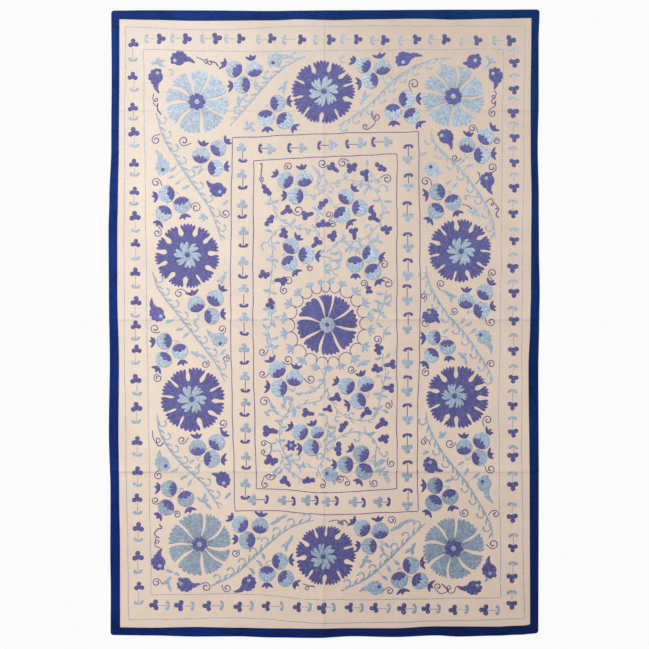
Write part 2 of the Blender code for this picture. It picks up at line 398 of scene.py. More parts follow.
def toothed_rosette(piece, place, radius, slots, tone, seed, foot):
    """Petals joined at their feet, parted by drop-shaped slots, with finger-like teeth on their rims."""
    rng = np.random.default_rng(seed)
    centre, big, foot = at(*place), radius * UNIT, foot * UNIT
    slots = whole_turn(slots)

    def drop(width):
        def slot(r):
            t = np.clip((r - foot) / (big - foot), 0, 1)
            return width * UNIT * np.sqrt(np.minimum(t / 0.22, 1)) * (1 - 0.62 * smooth((t - 0.22) / 0.7))

        return slot

    edges = [between(a - rng.uniform(-6, 6), a, 10 * UNIT, big) for a in slots[:-1]]
    first_edge = edges[0]
    edges.append(lambda r: first_edge(r) - 2 * math.pi)
    gaps = [drop(rng.choice((2.6, 4.4, 5.2))) for _ in edges[1:]]
    gaps.append(gaps[0])
    for k in range(len(edges) - 1):
        share = np.linspace(0, 1, 100)
        count = 4 if slots[k] - slots[k + 1] < 33 else 5
        rim = big * (0.975 + 0.045 * np.sin(math.pi * share)) - 3.1 * UNIT * (1 - tooth(share, count, 0.7))
        shade = tone + rng.uniform(-0.08, 0.08)
        sides, slits = (edges[k + 1], edges[k]), (gaps[k + 1], gaps[k])
        petal(piece, centre, 1.5 * UNIT, rim, sides, slits, 27, shade, pitch=0.0021)


def inner_flower(piece, place, radius, slits, tone, seed):
    """The small light flower in the middle of a toothed rosette: lobed petals parted by bent slits."""
    rng = np.random.default_rng(seed)
    centre, big = at(*place), radius * UNIT
    rims = whole_turn(slits)
    edges = [between(a + 24, a, 3.0 * UNIT, big, 0.8) for a in rims]

    def slit(r):
        # The petals are joined round the eye, and the slits between them widen towards the rim.
        start = 5.0 * UNIT
        return 2.8 * UNIT * smooth((r - start) / (big - start)) ** 0.6

    for first, last in zip(edges, edges[1:]):
        share = np.linspace(0, 1, 70)
        teeth = 3 - int(rng.integers(0, 2))
        rim = big * (0.93 + 0.10 * share) - 3.6 * UNIT * (1 - tooth(share, teeth, 0.8))
        shade = tone + rng.uniform(-0.1, 0.1)
        petal(piece, centre, 2.0 * UNIT, rim, (last, first), (slit, slit), 12, shade, 0.0017, 0.0019)


def lobe(degrees, far, radius):
    """One circle of a lobed patch, by the direction and distance of its middle from that of the patch."""
    return (*(aim(degrees) * far), radius)


def flower_disc(piece, place, radius, lobes, tone=0.5, height=0.0016, start=0.0):
    """A small round of thread, with a lobed rim if it has lobes."""
    r = radius * UNIT
    circles = [(0.0, 0.0, r * 0.70 if lobes else r)]
    circles += [lobe(start + 360 * k / lobes, r * 0.74, r * 0.27) for k in range(lobes)]
    piece.lobed(at(*place), circles, tone=tone, height=height, samples=max(24, 8 * lobes), rings=3)


def fruit(discs, caps, crowns, place, joint, tone, seed):
    """A pomegranate: a light round, a blue cap with a lobed edge towards its stem, and a crown."""
    rng = np.random.default_rng(seed)
    centre, stem = at(*place[:2]), at(*joint)
    away = centre - stem
    angle = heading(away) + rng.uniform(-9, 9)
    out = aim(angle)
    side = left_of(out)
    r = (place[2] if len(place) > 2 else rng.uniform(8.2, 8.8)) * UNIT
    m = 2 * int(round(2 * r / 0.0029)) + 1
    a = r * np.cos(np.linspace(math.pi, 0, m)) * 0.985
    chord = np.sqrt(r * r - a * a)
    # The cap lies towards the stem, with three or four round lobes that face the crown.
    spread = r * rng.uniform(0.86, 0.96)
    arch = np.sqrt(np.maximum(1 - (a / spread) ** 2, 0))
    lobes = tooth(np.clip(a / spread / 2 + 0.5, 0, 1), 3 + int(rng.integers(0, 2)), 0.6)
    zigzag = np.clip(r * (-0.80 + rng.uniform(0.46, 0.66) * arch + 0.34 * lobes * arch), -chord, chord)
    layers = ((caps, -chord, zigzag, 0.5, 0.0011), (discs, zigzag - 0.002, chord, tone, 0.0009))
    for layer, low, high, shade, lift in layers:
        low = np.maximum(low, -chord)
        b = low[:, None] + (high - low)[:, None] * np.linspace(0, 1, 7)
        x = centre[0] + a[:, None] * side[0] + b * out[0]
        y = centre[1] + a[:, None] * side[1] + b * out[1]
        layer.rows(x, y, lift=lift, tone=shade + rng.uniform(-0.12, 0.12))
    # The crown: a thick foot off the fruit, two horns bent round it and a tooth between them.
    far = r / UNIT
    reach = rng.uniform(5.2, 7.2)
    foot = [(far + 2.4) * UNIT * out] + turned(((far + 2.2, 2.3), (far + 2.2, -2.3)), angle)
    middle = sum(foot) / 3
    rounds = [(*(p - middle), radius * UNIT) for p, radius in zip(foot, (3.0, 2.4, 2.4))]
    crowns.lobed(centre + middle, rounds, tone=0.3, samples=18, rings=1)
    prongs = ((1.7, 5.2, reach), (0.0, 6.6, rng.uniform(-1, 1)), (-1.7, 5.0, -reach * rng.uniform(0.7, 1.0)))
    for start, tall, end in prongs:
        prong = turned(((far + 2.2, start), (far + 3.4, mix(start, end, 0.55)), (far + tall, end)), angle)
        crowns.line([centre + p for p in prong], units(4.4, 3.4, 1.4), height=0.0014, tone=0.3)


def trefoil(piece, place, degrees, size=1.0, tone=0.5):
    """Three round lobes about a middle, the first along the aim."""
    r = UNIT * size
    lobes = ((0, 0.0), (0, 3.8), (105, 3.5), (-105, 3.5))
    circles = [lobe(degrees + spread, far * r, 2.7 * r) for spread, far in lobes]
    piece.lobed(at(*place), circles, tone=tone)


# Lobes of a bud in three kinds: direction off its aim, distance and radius, in chart units.
BUD_LOBES = (
    ((42, 3.7, 2.8), (-42, 3.7, 2.8), (180, 2.8, 2.4), (180, 5.4, 2.1)),
    ((8, 4.6, 2.8), (180, 4.2, 2.8), (98, 2.8, 2.3)),
    ((25, 4.3, 2.6), (-55, 3.4, 2.6), (178, 3.4, 2.7), (105, 3.0, 2.0)),
)


def bud(piece, place, degrees, size, tone, seed):
    """A half-open bud: a few round lobes about its aim."""
    rng = np.random.default_rng(seed)
    r = UNIT * size
    circles = [(0.0, 0.0, 2.6 * r)]
    for spread, far, radius in BUD_LOBES[int(rng.integers(0, 3))]:
        circles.append(lobe(degrees + spread + rng.uniform(-9, 9), far * r, radius * r))
    piece.lobed(at(*place), circles, tone=tone, samples=42)


def anchor(piece, place, degrees, tone=0.5, size=1.0):
    """A short arc with thick ends that turn along the aim."""
    arc = turned(((2.4, -4.1), (0.1, -2.9), (-0.8, 0), (0.1, 2.9), (2.4, 4.1)), degrees, UNIT * size)
    piece.line([at(*place) + p for p in arc], units(4.5, 4.1, 2.5, 4.1, 4.5), tone=tone)


def leaf(piece, start, end, width, tone=0.5, bend=0.12):
    """A pointed leaf sewn from start to end, in metres."""
    side = left_of(end - start)
    piece.line([start, (start + end) / 2 + side * bend, end], (width * 0.45, width, width, width * 0.35),
             height=0.0012, tone=tone)


def spiral(piece, place, radius, start, width, hand, tone):
    """A tendril that runs from its start into a spiral of 1.4 turns."""
    centre, begin = at(*place), at(*start)
    offset = begin - centre
    far, first = np.hypot(*offset), math.atan2(offset[1], offset[0])
    t = np.linspace(0, 1, 12)
    r = mix(radius * UNIT * 1.12, radius * UNIT * 0.25, t**1.4)
    r = np.maximum(r, far * (1 - t * 4))
    turn = first + hand * 2.8 * math.pi * t
    path = np.stack((centre[0] + r * np.cos(turn), centre[1] + r * np.sin(turn)), 1)
    piece.line(path, (width, width, width * 1.5), tone=tone, step=0.0028)


def comma(piece, place, radius, start, hand, tone=0.5):
    """An open curl that thickens towards its end."""
    centre, begin = at(*place), at(*start)
    offset = begin - centre
    turn = math.atan2(offset[1], offset[0]) + hand * np.linspace(0.3, 4.4, 9)
    arc = centre + radius * UNIT * np.stack((np.cos(turn), np.sin(turn)), 1)
    piece.line(np.concatenate(([begin], arc)), units(1.3, 1.8, 2.6, 3.8), tone=tone, step=0.0028)


def stations(path, first, last, every):
    """Places every so far along a path: their number, point, direction and the left of it."""
    run, along = measured(path)
    for k, place in enumerate(np.arange(first, run[-1] - last, every)):
        i = int(np.searchsorted(run, place))
        yield k, path[i], along[i], left_of(along[i])


def hooks_along(piece, path, every, tone):
    """Short bent hooks on both sides of a thin vine in turn."""
    for k, spot, t, left in stations(path, every * 0.7, every * 0.4, every):
        n = left if k % 2 else -left
        hook = [spot + (n * out + t * on) * UNIT for out, on in ((0, 0), (2.0, 1.8), (3.2, 5.4))]
        piece.line(hook, units(1.4, 2.4, 0.9), tone=tone)


def serrated_leaf(body, spots, place, tail, spot, tone, seed):
    """A round leaf with a lobed side, a tapering tail and a spot of the other blue."""
    rng = np.random.default_rng(seed)
    centre, tip, middle = at(*place), at(*tail), at(*spot)
    back = tip - centre
    angle = heading(back)
    hand = rng.choice((-1, 1))
    circles = [(0.0, 0.0, 6.3 * UNIT)]
    for k in range(6):
        circles.append(lobe(angle + hand * (48 + 33 * k) + rng.uniform(-5, 5), 7.0 * UNIT, 2.3 * UNIT))
    body.lobed(centre, circles, tone=tone, samples=48, rings=4)
    side = left_of(back) * 0.14 * hand
    tail = [centre + back * 0.1, centre + back * 0.55 + side, tip]
    body.line(tail, units(10.4, 6.8, 1.6), height=0.0012, tone=tone)
    at_spot = mix(centre, middle, 0.75)
    ring = [(0.0, 0.0, 2.3 * UNIT)]
    spots.lobed(at_spot, ring, height=0.0019, samples=16, rings=2)


# Places of the pattern on the chart, read off: across, down.
LINES_SKY = (
    ((125.4, 27), (124.3, 320), (129, 620)), ((125, 27), (220, 30), (300, 26.4), (525, 26)),
    ((524.8, 26), (521.6, 400), (524.2, 619)), ((129, 619.8), (250, 618), (325, 623), (524, 618.8)),
    ((143.4, 50), (147, 320), (148.5, 420), (151.2, 595)),
    ((143.4, 49.6), (250, 51.6), (325, 50.6), (503.2, 49)),
    ((503.2, 49), (500.3, 320), (498.8, 420), (501, 597)),
    ((151.2, 595), (250, 594), (325, 599.7), (501, 597.5)),
)
LINES_INDIGO = (
    ((232.2, 138), (230.7, 320), (235.1, 511)), ((232.2, 137.9), (325, 133.8), (418.4, 131.7)),
    ((418.4, 131.7), (420.3, 300), (417.5, 430), (417.9, 511)),
    ((235.1, 511.2), (280, 510.7), (325, 514.6), (417.9, 511.2)),
    ((253.7, 160.6), (253.1, 330), (256.4, 488.7)), ((253.7, 160.6), (325, 157), (396.9, 153.7)),
    ((396.9, 153.7), (396.9, 489)), ((256.4, 488.7), (290, 490), (325, 492.6), (396.9, 489)),
)
# Rows of border sprigs: first and last middle of the row, aim, then places along it.
SPRIG_ROWS = {
    "outer_indigo": (
        (133, 138.5, 90,
         (44, 77, 108, 133, 164, 192, 217, 244, 273, 302, 326, 350, 380, 408, 442, 472, 499, 528, 557, 587)),
        (514, 512.5, 270,
         (62, 89, 112, 137, 162, 187, 213, 240, 267, 292, 320, 350, 378, 405, 432, 456, 485, 517, 547,
          577, 604)),
        (38.5, 40.5, 0, (160, 186, 216, 240, 271, 301, 330, 357, 384, 416, 445, 477, 510)),
        (605, 610, 180, (155, 180, 208, 239, 267, 298, 323, 350, 375, 403, 427, 454, 485)),
    ),
    "outer_sky": (
        (133, 138.5, 90,
         (60, 90, 119, 146, 175, 204, 231, 259, 287, 316, 339, 363, 394, 422, 455, 485, 513, 540, 572, 603)),
        (514, 512.5, 270,
         (49, 75, 98, 123, 148, 174, 201, 229, 254, 281, 308, 335, 366, 391, 418, 447, 473, 504, 535, 563,
          592)),
        (38.5, 40.5, 0, (146, 172, 202, 226, 258, 284, 315, 342, 372, 400, 430, 461, 494)),
        (605, 610, 180, (168, 193, 222, 252, 282, 310, 334, 362, 389, 415, 439, 467, 498)),
    ),
    "inner_sky": (
        (242, 246, 90, (148, 175, 205, 232, 262, 289, 318, 349, 377, 403, 429, 457, 484)),
        (408, 407.5, 270, (159, 186, 216, 247, 275, 300, 329, 363, 391, 419, 448, 476, 505)),
        (149, 142, 0, (270, 302, 332, 361, 387)),
        (500, 502.5, 180, (253, 283, 307, 327, 354, 379)),
    ),
    "inner_indigo": (
        (242, 246, 90, (161, 188, 217, 246, 277, 306, 334, 363, 391, 415, 442, 468, 498)),
        (408, 407.5, 270, (146, 175, 203, 234, 260, 286, 314, 349, 377, 405, 435, 462, 490)),
        (149, 142, 0, (260, 289, 319, 347, 373)),
        (500, 502.5, 180, (267, 294, 317, 337, 364, 389)),
    ),
}
# Middle, radius, directions of the gaps at the rim and at the middle ring, radius of that ring.
SWIRLS = (
    ((197.0, 101.8), 32.3, (108.8, 67.8, 15, -26, -80.5, -127.6, -172.4, -207.6),
     (112, 66, 15, -26, -67, -135, -180, -217), 8.4),
    ((453.3, 96.5), 31.7, (87, 47.8, 5.4, -36, -94, -147, -190, -227),
     (74, 52, -4, -45, -90, -140, -188, -235), 8.8),
    ((199.6, 544.2), 32.1, (83.6, 42.9, -3.4, -35.8, -80.5, -139, -174.6, -223),
     (78, 26, -16.5, -41, -78, -141, -180, -221), 7.4),
    ((453.6, 548.4), 31.3, (86.5, 35.1, -8.9, -47.3, -97.5, -144.5, -188, -232),
     (88, 36, -5.5, -62.5, -108, -147, -201, -234), 8.8),
)
# How light the thread of each is.
SWIRL_TONES = (0.75, 0.55, 0.0, 0.10)
CENTRE_SWIRL = ((327.2, 324.8), 30.8, (111, 78.7, 36.5, -8.1, -60.3, -102.9, -147, -190),
                (106, 82, 35, -7, -56, -106, -141, -200), 8.5)
# Middle, radius, directions of the slots at the rim and of the slits in the light flower, and the middle and
# radius of that flower.
TOOTHED = (
    ((323.3, 92.1), 31.8, (112.6, 75.8, 39.6, 16.7, -16.7, -59, -96, -130, -168, -205),
     (95, 35, -25, -85, -145, -205), (323.8, 91.6), 16.0),
    ((187.2, 256.0), 32.5, (106.4, 71.3, 39.9, 4.6, -28.6, -61, -94.7, -130, -160.5, -189, -220.7),
     (70, 13, -46, -119, -167, -226), (187.7, 255.1), 14.4),
    ((192.8, 399.6), 32.3, (138.6, 100.4, 63.4, 27.5, -3.2, -32.8, -71.6, -116.8, -154.3, -187),
     (80, 20, -40, -105, -160, -220), (192.0, 399.3), 15.3),
    ((459.8, 250.7), 31.8, (98.4, 63.1, 31.3, -2.1, -33.5, -69.9, -102.8, -139, -169, -198.6, -229),
     (75, 21, -40, -111, -170, -221), (461.0, 251.6), 15.0),
    ((457.6, 397.0), 31.6, (93.3, 52.5, 24.8, -1.9, -30.5, -59.4, -91.7, -119.8, -156, -194, -232),
     (69, 17, -34, -98, -160, -228), (454.6, 396.1), 13.6),
    ((325.6, 555.4), 30.3, (87.7, 54.7, 18.6, -16.8, -56.3, -94, -128, -173, -212.5, -247),
     (71, 8, -50, -115, -187, -243), (323.4, 556.6), 14.2),
)
# The scalloped ring round the centre rosette: its radius and the directions of its cusps.
SCALLOP_RADIUS = 38.7
SCALLOP_CUSPS = (
    114, 99, 86, 70, 49, 30, 11, -7, -30, -51, -72, -89, -106, -125, -147, -169, -189, -209, -228,
)
# Share along a scallop from cusp to cusp, and how far in it hangs there.
SCALLOP = (
    (0, 0), (0.02, 0.35), (0.12, 0.75), (0.3, 0.96), (0.5, 1), (0.7, 0.96), (0.88, 0.75), (0.98, 0.35),
    (1, 0),
)
# Three fruits, with their radius where it isn't the usual one, and the joint of their stems.
FRUITS = (
    ((234, 69), (254, 69), (242, 85), (255, 83)), ((278, 103), (266, 118), (285, 121), (266, 105)),
    ((363, 65), (382, 67), (370, 80.5), (384, 79)), ((407, 99), (393, 112), (412, 116), (394, 99)),
    ((201, 155), (218.5, 148), (215.5, 168), (200, 168)),
    ((166.5, 194), (182, 205), (163.5, 213.5), (178, 192.5)),
    ((196, 304), (215.5, 298), (212, 316), (198, 316.5)),
    ((164, 341), (180, 351.5), (163.5, 360), (179, 341)),
    ((197.5, 447.5), (217, 442), (212, 459), (197, 460)),
    ((169, 488.5), (186, 499), (166, 507.5), (183, 488)), ((467, 145), (486, 136.5), (482, 155), (465, 158)),
    ((437, 192), (453, 202.5), (435.5, 211), (450.5, 191)),
    ((466, 301), (485, 292), (481.5, 310), (467, 314)),
    ((433.5, 337.5, 7.5), (447.5, 347.5, 8.2), (431, 355.5, 7.8), (447, 336.5)),
    ((464, 447), (481.5, 440.5), (479.5, 457.5), (466, 460)),
    ((435, 485.5), (450, 497), (433.5, 503), (449, 486)), ((240, 524), (260, 525.5), (247, 540), (260, 539)),
    ((280, 561), (267, 574), (286, 578.5), (266, 562)), ((362, 528), (380, 530.5), (369, 546), (383, 545)),
    ((411, 565), (399.5, 580), (420, 581), (398, 568)), ((285, 180), (304, 178.5), (295.5, 196), (307, 195)),
    ((346.5, 196.5), (360, 208), (342, 215), (334, 207)),
    ((291, 246), (306.5, 255), (289.5, 263.5), (282.5, 255)),
    ((370.5, 254), (355, 264.5), (373, 272), (356, 249)),
    ((277, 369.5), (294.5, 378), (279, 388), (294, 392)),
    ((346.5, 386), (365.5, 384), (358, 401), (369, 397)),
    ((300, 432), (317, 432, 6.8), (311, 447.5), (322, 447)),
    ((361, 453.5), (345.5, 464.5), (364, 471.5), (372, 461)),
)
# Groups sewn in a duller thread, and the first of those in the middle, which are a little lighter.
DULL_GROUPS = (9, 11, 15, 27)
FIRST_MIDDLE_GROUP = 20
# Vines of the field: the side their curls turn to (1 left, -1 right of their run), then places along them.
FIELD_VINES = (
    (-1, (305, 56), (285, 67), (268, 82), (250, 103), (230, 126)),
    (1, (452, 58), (435, 59), (412, 68), (393, 81), (368, 106), (338, 126)),
    (1, (156, 113), (163, 136), (175, 157), (192, 183), (210, 209), (222, 241)),
    (1, (152.6, 272), (158.5, 289), (175, 311), (194, 335), (216, 364), (225, 382)),
    (1, (157, 415), (161, 435), (178, 460), (203, 484), (220, 509)),
    (-1, (430, 131), (437, 146), (461, 170), (480, 195), (492, 218), (495, 239)),
    (-1, (426, 266), (430, 285), (445, 311), (469, 339), (488, 369), (493, 381)),
    (-1, (426, 412), (429, 427), (443, 453), (470, 488), (489, 521), (493, 537)),
    (1, (211, 586), (235, 574), (254, 557), (278, 536), (294, 526), (314, 520)),
    (1, (341, 591), (368, 577.5), (388, 560), (408, 540), (425.5, 523)),
)


def linear(code):
    """An sRGB hex colour as linear red, green and blue."""
    parts = [int(code[k : k + 2], 16) / 255 for k in (1, 3, 5)]
    return tuple(p / 12.92 if p <= 0.04045 else ((p + 0.055) / 1.055) ** 2.4 for p in parts)


def add_node(tree, kind, inputs=(), out=0, **settings):
    """Adds a node and gives back one of its outputs. inputs says what each socket holds or is fed by, in the
    order of the sockets or by their keys."""
    node = tree.nodes.new("ShaderNode" + kind)
    for name, value in settings.items():
        setattr(node, name, value)
    for socket, value in inputs.items() if isinstance(inputs, dict) else enumerate(inputs):
        if isinstance(value, bpy.types.NodeSocket):
            tree.links.new(value, node.inputs[socket])
        else:
            node.inputs[socket].default_value = value
    return node.outputs[out]


def shaded(tree, colour, share):
    """A colour, made darker or lighter by a share."""
    grey = add_node(tree, "CombineColor", (share, share, share))
    return add_node(tree, "Mix", {0: 1.0, 6: colour, 7: grey}, 2, data_type="RGBA", blend_type="MULTIPLY")


# From where to where the colours of the corners pass into each other, across and along the cloth, in metres:
# painted light falloff from the top left.
FALLOFF_ACROSS = (-0.65, 0.45)
FALLOFF_ALONG = (-0.98, 0.98)


def cloth_colour(tree, place, corners):
    """The colour over the cloth, from its top left, top right, bottom left and bottom right: painted light
    falloff, lightest at the top left, and a little darker towards its ends."""
    node = partial(add_node, tree)
    x, y, _ = node("SeparateXYZ", (place,)).node.outputs
    across = node("MapRange", (x, *FALLOFF_ACROSS, 0.0, 1.0), interpolation_type="SMOOTHSTEP")
    along = node("MapRange", (y, *FALLOFF_ALONG, 0.0, 1.0))
    a, b, c, d = ((*corner_colour, 1) for corner_colour in corners)
    # Painted light falloff: lightest at the top left, darker towards the other corners.
    top = node("Mix", {0: across, 6: a, 7: b}, 2, data_type="RGBA")
    bottom = node("Mix", {0: across, 6: c, 7: d}, 2, data_type="RGBA")
    falloff_colour = node("Mix", {0: along, 6: bottom, 7: top}, 2, data_type="RGBA")
    from_middle = node("Math", (y,), operation="ABSOLUTE")
    return shaded(tree, falloff_colour, node("MapRange", (from_middle, 0.40, 1.0, 1.0, 0.92)))


def new_material(name, roughness, sheen):
    material = bpy.data.materials.new(name)
    material.use_nodes = True
    shader = material.node_tree.nodes["Principled BSDF"]
    looks = {
        "Roughness": roughness, "Sheen Weight": sheen, "Sheen Roughness": 0.5, "Specular IOR Level": 0.15,
    }
    for socket, value in looks.items():
        shader.inputs[socket].default_value = value
    return material, material.node_tree, shader


# Fold lines left by storage: how wide and deep their dents are, in metres, and the share of colour kept under
# their painted shade.
FOLD_WIDTH = 0.0052
FOLD_DEPTH = 0.0012
FOLD_SHADE = 0.81


def woven_cotton(name, corners, thread_mm, slub, roughness, worn_by, folds, wrinkle_shade=0.0):
    """Plain-woven hand-loomed cotton: matt, with uneven yarns both ways. The weave is drawn at thread_mm,
    coarser than the real 0.6 mm, so that it shows."""
    material, tree, shader = new_material(name, roughness, 0.02)
    node = partial(add_node, tree)
    place = node("TexCoord", out="Object")
    yarns = []
    for stretch in ((3.0, 260.0, 1.0), (260.0, 3.0, 1.0)):
        yarns.append(node("TexNoise", {0: node("Mapping", {0: place, 3: stretch}), 2: 1.0, 3: 2.0}))
    uneven = node("Math", yarns, operation="ADD")
    patchy = node("TexNoise", {0: place, 2: 7.0, 3: 3.0})
    # Knots and thick places of the hand-spun yarn, drawn about 3 mm across so that they show.
    knots = node("TexNoise", {0: place, 2: 300.0, 3: 1.0})
    shades = [
        node("MapRange", (uneven, 0.7, 1.3, 1 - slub, 1 + slub)),
        node("MapRange", (patchy, 0.3, 0.7, 1 - worn_by, 1 + worn_by)),
        node("MapRange", (knots, 0.3, 0.7, 0.945, 1.045)),
    ]
    # Each fold line is a thin dent with painted shade along it, that fades in and out along its run.
    x, y, _ = node("SeparateXYZ", (place,)).node.outputs
    dents = []
    for across, lines in zip((y, x), folds):
        for line in lines:
            off = node("Math", (across, line), operation="SUBTRACT")
            off = node("Math", (off,), operation="ABSOLUTE")
            dents.append(node("MapRange", (off, 0.0, FOLD_WIDTH, 1.0, 0.0)))
    dent = dents[0]
    for more in dents[1:]:
        dent = node("Math", (dent, more), operation="MAXIMUM")
    fade = node("MapRange", (node("TexNoise", {0: place, 2: 5.0}), 0.35, 0.65, 0.25, 1.0))
    dent = node("Math", (dent, fade), operation="MULTIPLY")
    # Painted shade in the fold lines.
    shades.append(node("MapRange", (dent, 0.0, 1.0, 1.0, FOLD_SHADE)))
    if wrinkle_shade:
        # Thin wrinkles here and there, where the stitches pull the strip: the mid line of a soft noise, with
        # painted shade along it and a dent in the bump.
        noise = node("TexNoise", {0: place, 2: 14.0, 3: 1.0, 8: 0.6})
        off = node("Math", (noise, 0.5), operation="SUBTRACT")
        off = node("Math", (off,), operation="ABSOLUTE")
        here = node("MapRange", (node("TexNoise", {0: place, 2: 6.0, 3: 0.0}), 0.42, 0.58, 0.0, 1.0))
        wrinkle = node("MapRange", (off, 0.0, 0.045, 1.0, 0.0))
        wrinkle = node("Math", (wrinkle, here), operation="MULTIPLY")
        # Painted shade in the wrinkles.
        shades.append(node("MapRange", (wrinkle, 0.0, 1.0, 1.0, 1 - wrinkle_shade)))
        dent = node("Math", (dent, wrinkle), operation="MAXIMUM")
    shade = shades[0]
    for more in shades[1:]:
        shade = node("Math", (shade, more), operation="MULTIPLY")
    tree.links.new(shaded(tree, cloth_colour(tree, place, corners), shade), shader.inputs["Base Color"])
    # A wave texture at scale s has a period of 2 pi / 20 s.
    scale = math.pi / 10 / (thread_mm * 0.001)
    waves = [node("TexWave", {0: place, 1: scale, 2: 0.6}, 1, bands_direction=way) for way in "XY"]
    weave = node("Math", waves, operation="ADD")
    relief = node("Math", (uneven, 1.0, weave), operation="MULTIPLY_ADD")
    lift = node("Bump", {0: 0.35, 1: 0.0004, "Height": relief})
    lift = node("Bump", {0: 0.6, 1: -FOLD_DEPTH, "Height": dent, "Normal": lift})
    tree.links.new(lift, shader.inputs["Normal"])
    return material


def sewn_thread(name, corners, open_colour, opening):
    """Loosely twisted embroidery cotton in rows of chain stitch: a soft sheen on the crests, painted shade at
    the edges of each stitch, and small openings where the ground shows between stitches."""
    material, tree, shader = new_material(name, 0.62, 0.22)
    node = partial(add_node, tree)
    place = node("TexCoord", out="Object")
    tone = node("Attribute", out="Fac", attribute_name="tone")
    stitch = node("UVMap", uv_map="stitch")
    # The dye runs unevenly along the thread: streaks about 5 mm wide and 25 mm long, coarse enough to show.
    along_rows = node("Mapping", {0: stitch, 3: (200.0, 42.0, 1.0)})
    streaks = node("TexNoise", {0: along_rows, 2: 1.0, 3: 3.0})
    mottle = node("TexNoise", {0: place, 2: 160.0, 3: 2.0})
    streaks = node("Math", (streaks, mottle), operation="ADD")
    # Chain stitches 4.5 mm long in rows 2.7 mm apart, with painted shade at the edge of each and a bump.
    chain = node("Mapping", {0: stitch, 3: (370.0, 222.0, 1.0)})
    cells = node("TexVoronoi", {0: chain, 2: 1.0}, feature="DISTANCE_TO_EDGE")
    shade = node("MapRange", (tone, 0.0, 1.0, 0.80, 1.20))
    uneven = node("MapRange", (streaks, 0.72, 1.28, 0.72, 1.26))
    # Painted shade: darker towards the edges of each chain stitch.
    stitch_shade = node("MapRange", (cells, 0.0, 0.25, 0.78, 1.08))
    for more in (uneven, stitch_shade):
        shade = node("Math", (shade, more), operation="MULTIPLY")
    thread = shaded(tree, cloth_colour(tree, place, corners), shade)
    specks = node("TexNoise", {0: place, 2: 210.0, 3: 1.0})
    openings = node("MapRange", (specks, 0.58, 0.74, 0.0, opening))
    mixed = node("Mix", {0: openings, 6: thread, 7: (*linear(open_colour), 1)}, 2, data_type="RGBA")
    tree.links.new(mixed, shader.inputs["Base Color"])
    relief = node("Bump", {0: 0.6, 1: 0.0005, "Height": cells})
    tree.links.new(relief, shader.inputs["Normal"])
    return material


# Where the fold lines run across the cloth and along it, in metres.
CREASE_Y = tuple((share - 0.5) * LENGTH for share, _ in CREASES_ACROSS)
CREASE_X = (0.002,)
# Colours at the top left, top right, bottom left and bottom right of the cloth, darker away from the top left
# as painted light falloff.
GROUND_COLOURS = ("#fff0e0", "#dfcbbb", "#e9d3c1", "#d6c1b1")
EDGING_COLOURS = ("#1a3b84", "#08306a", "#02246a", "#001a52")
INDIGO_COLOURS = ("#7b79b9", "#6b6ba7", "#64629e", "#4d4c80")
SKY_COLOURS = ("#d0deee", "#bccddd", "#a2b4c8", "#8698ae")


def falloff_corners(first, codes):
    """The chosen colour of the top left corner, and the darker colours of painted light falloff at the other
    corners.
    """
    return [tuple(first), *(linear(code) for code in codes[1:])]


def materials():
    """The four materials, made at first use: ground, edging, indigo thread and sky thread."""
    names = ("hand_loomed_cotton", "blue_edging_cotton", "indigo_embroidery_cotton", "sky_embroidery_cotton")
    made = bpy.data.materials
    if names[0] not in made:
        chosen = bpy.context.scene.suzani_colours
        ground, edging = falloff_corners(chosen.ground, GROUND_COLOURS), falloff_corners(chosen.edging, EDGING_COLOURS)
        indigo, sky = falloff_corners(chosen.indigo, INDIGO_COLOURS), falloff_corners(chosen.sky, SKY_COLOURS)
        woven_cotton(names[0], ground, 1.8, 0.024, 0.9, 0.036, (CREASE_Y, CREASE_X))
        woven_cotton(names[1], edging, 1.6, 0.24, 0.85, 0.16, (CREASE_Y, ()), 0.35)
        sewn_thread(names[2], indigo, "#b9b0c0", 0.30)
        sewn_thread(names[3], sky, "#e6ddd2", 0.40)
    return [made[name] for name in names]


# Their places in that list.
GROUND, EDGING, INDIGO, SKY = range(4)


def deselect():
    for piece in bpy.context.scene.objects:
        piece.select_set(False)


def pick(piece):
    """Selects one piece alone and makes it the active one."""
    deselect()
    piece.select_set(True)
    bpy.context.view_layer.objects.active = piece


def grid_piece(name, across, along, shape, material):
    """A grid that is added by its operator and laid by shape, which gives x, y and z for shares s and t."""
    deselect()
    bpy.ops.mesh.primitive_grid_add(x_subdivisions=across, y_subdivisions=along, size=1, location=(0, 0, 0))
    piece = bpy.context.object
    piece.name = piece.data.name = name
    mesh = piece.data
    co = np.zeros(len(mesh.vertices) * 3)
    mesh.vertices.foreach_get("co", co)
    co = co.reshape(-1, 3)
    x, y, z = shape(np.clip(co[:, 0] + 0.5, 0, 1), np.clip(co[:, 1] + 0.5, 0, 1))
    mesh.vertices.foreach_set("co", np.stack((x, y, z), 1).ravel())
    mesh.update()
    mesh.materials.append(material)
    return piece


def thicken(piece, thickness):
    pick(piece)
    wall = piece.modifiers.new("thickness", "SOLIDIFY")
    wall.thickness = thickness
    wall.offset = -1.0
    bpy.ops.object.modifier_apply(modifier=wall.name)
    bpy.ops.object.shade_smooth_by_angle(angle=math.radians(40))


def panel_shape(low_edge, high_edge):
    def shape(s, t):
        v = mix(CLOTH_INSET / LENGTH, 1 - CLOTH_INSET / LENGTH, t)
        x = mix(low_edge(v), high_edge(v), s)
        y = row_y(x, v)
        return x, y, drape(x, y)

    return shape


# The two long edges of each loom width, and how many steps its grid has across and along.
PANELS = {
    "left": (lambda v: left_x(v) + CLOTH_INSET, lambda v: mix(*LEFT_SEAM, v) - GAP / 2),
    "middle": (lambda v: mix(*LEFT_SEAM, v) + GAP / 2, lambda v: mix(*RIGHT_SEAM, v) - GAP / 2),
    "right": (lambda v: mix(*RIGHT_SEAM, v) + GAP / 2, lambda v: right_x(v) - CLOTH_INSET),
}
PANEL_STEPS = (48, 230)


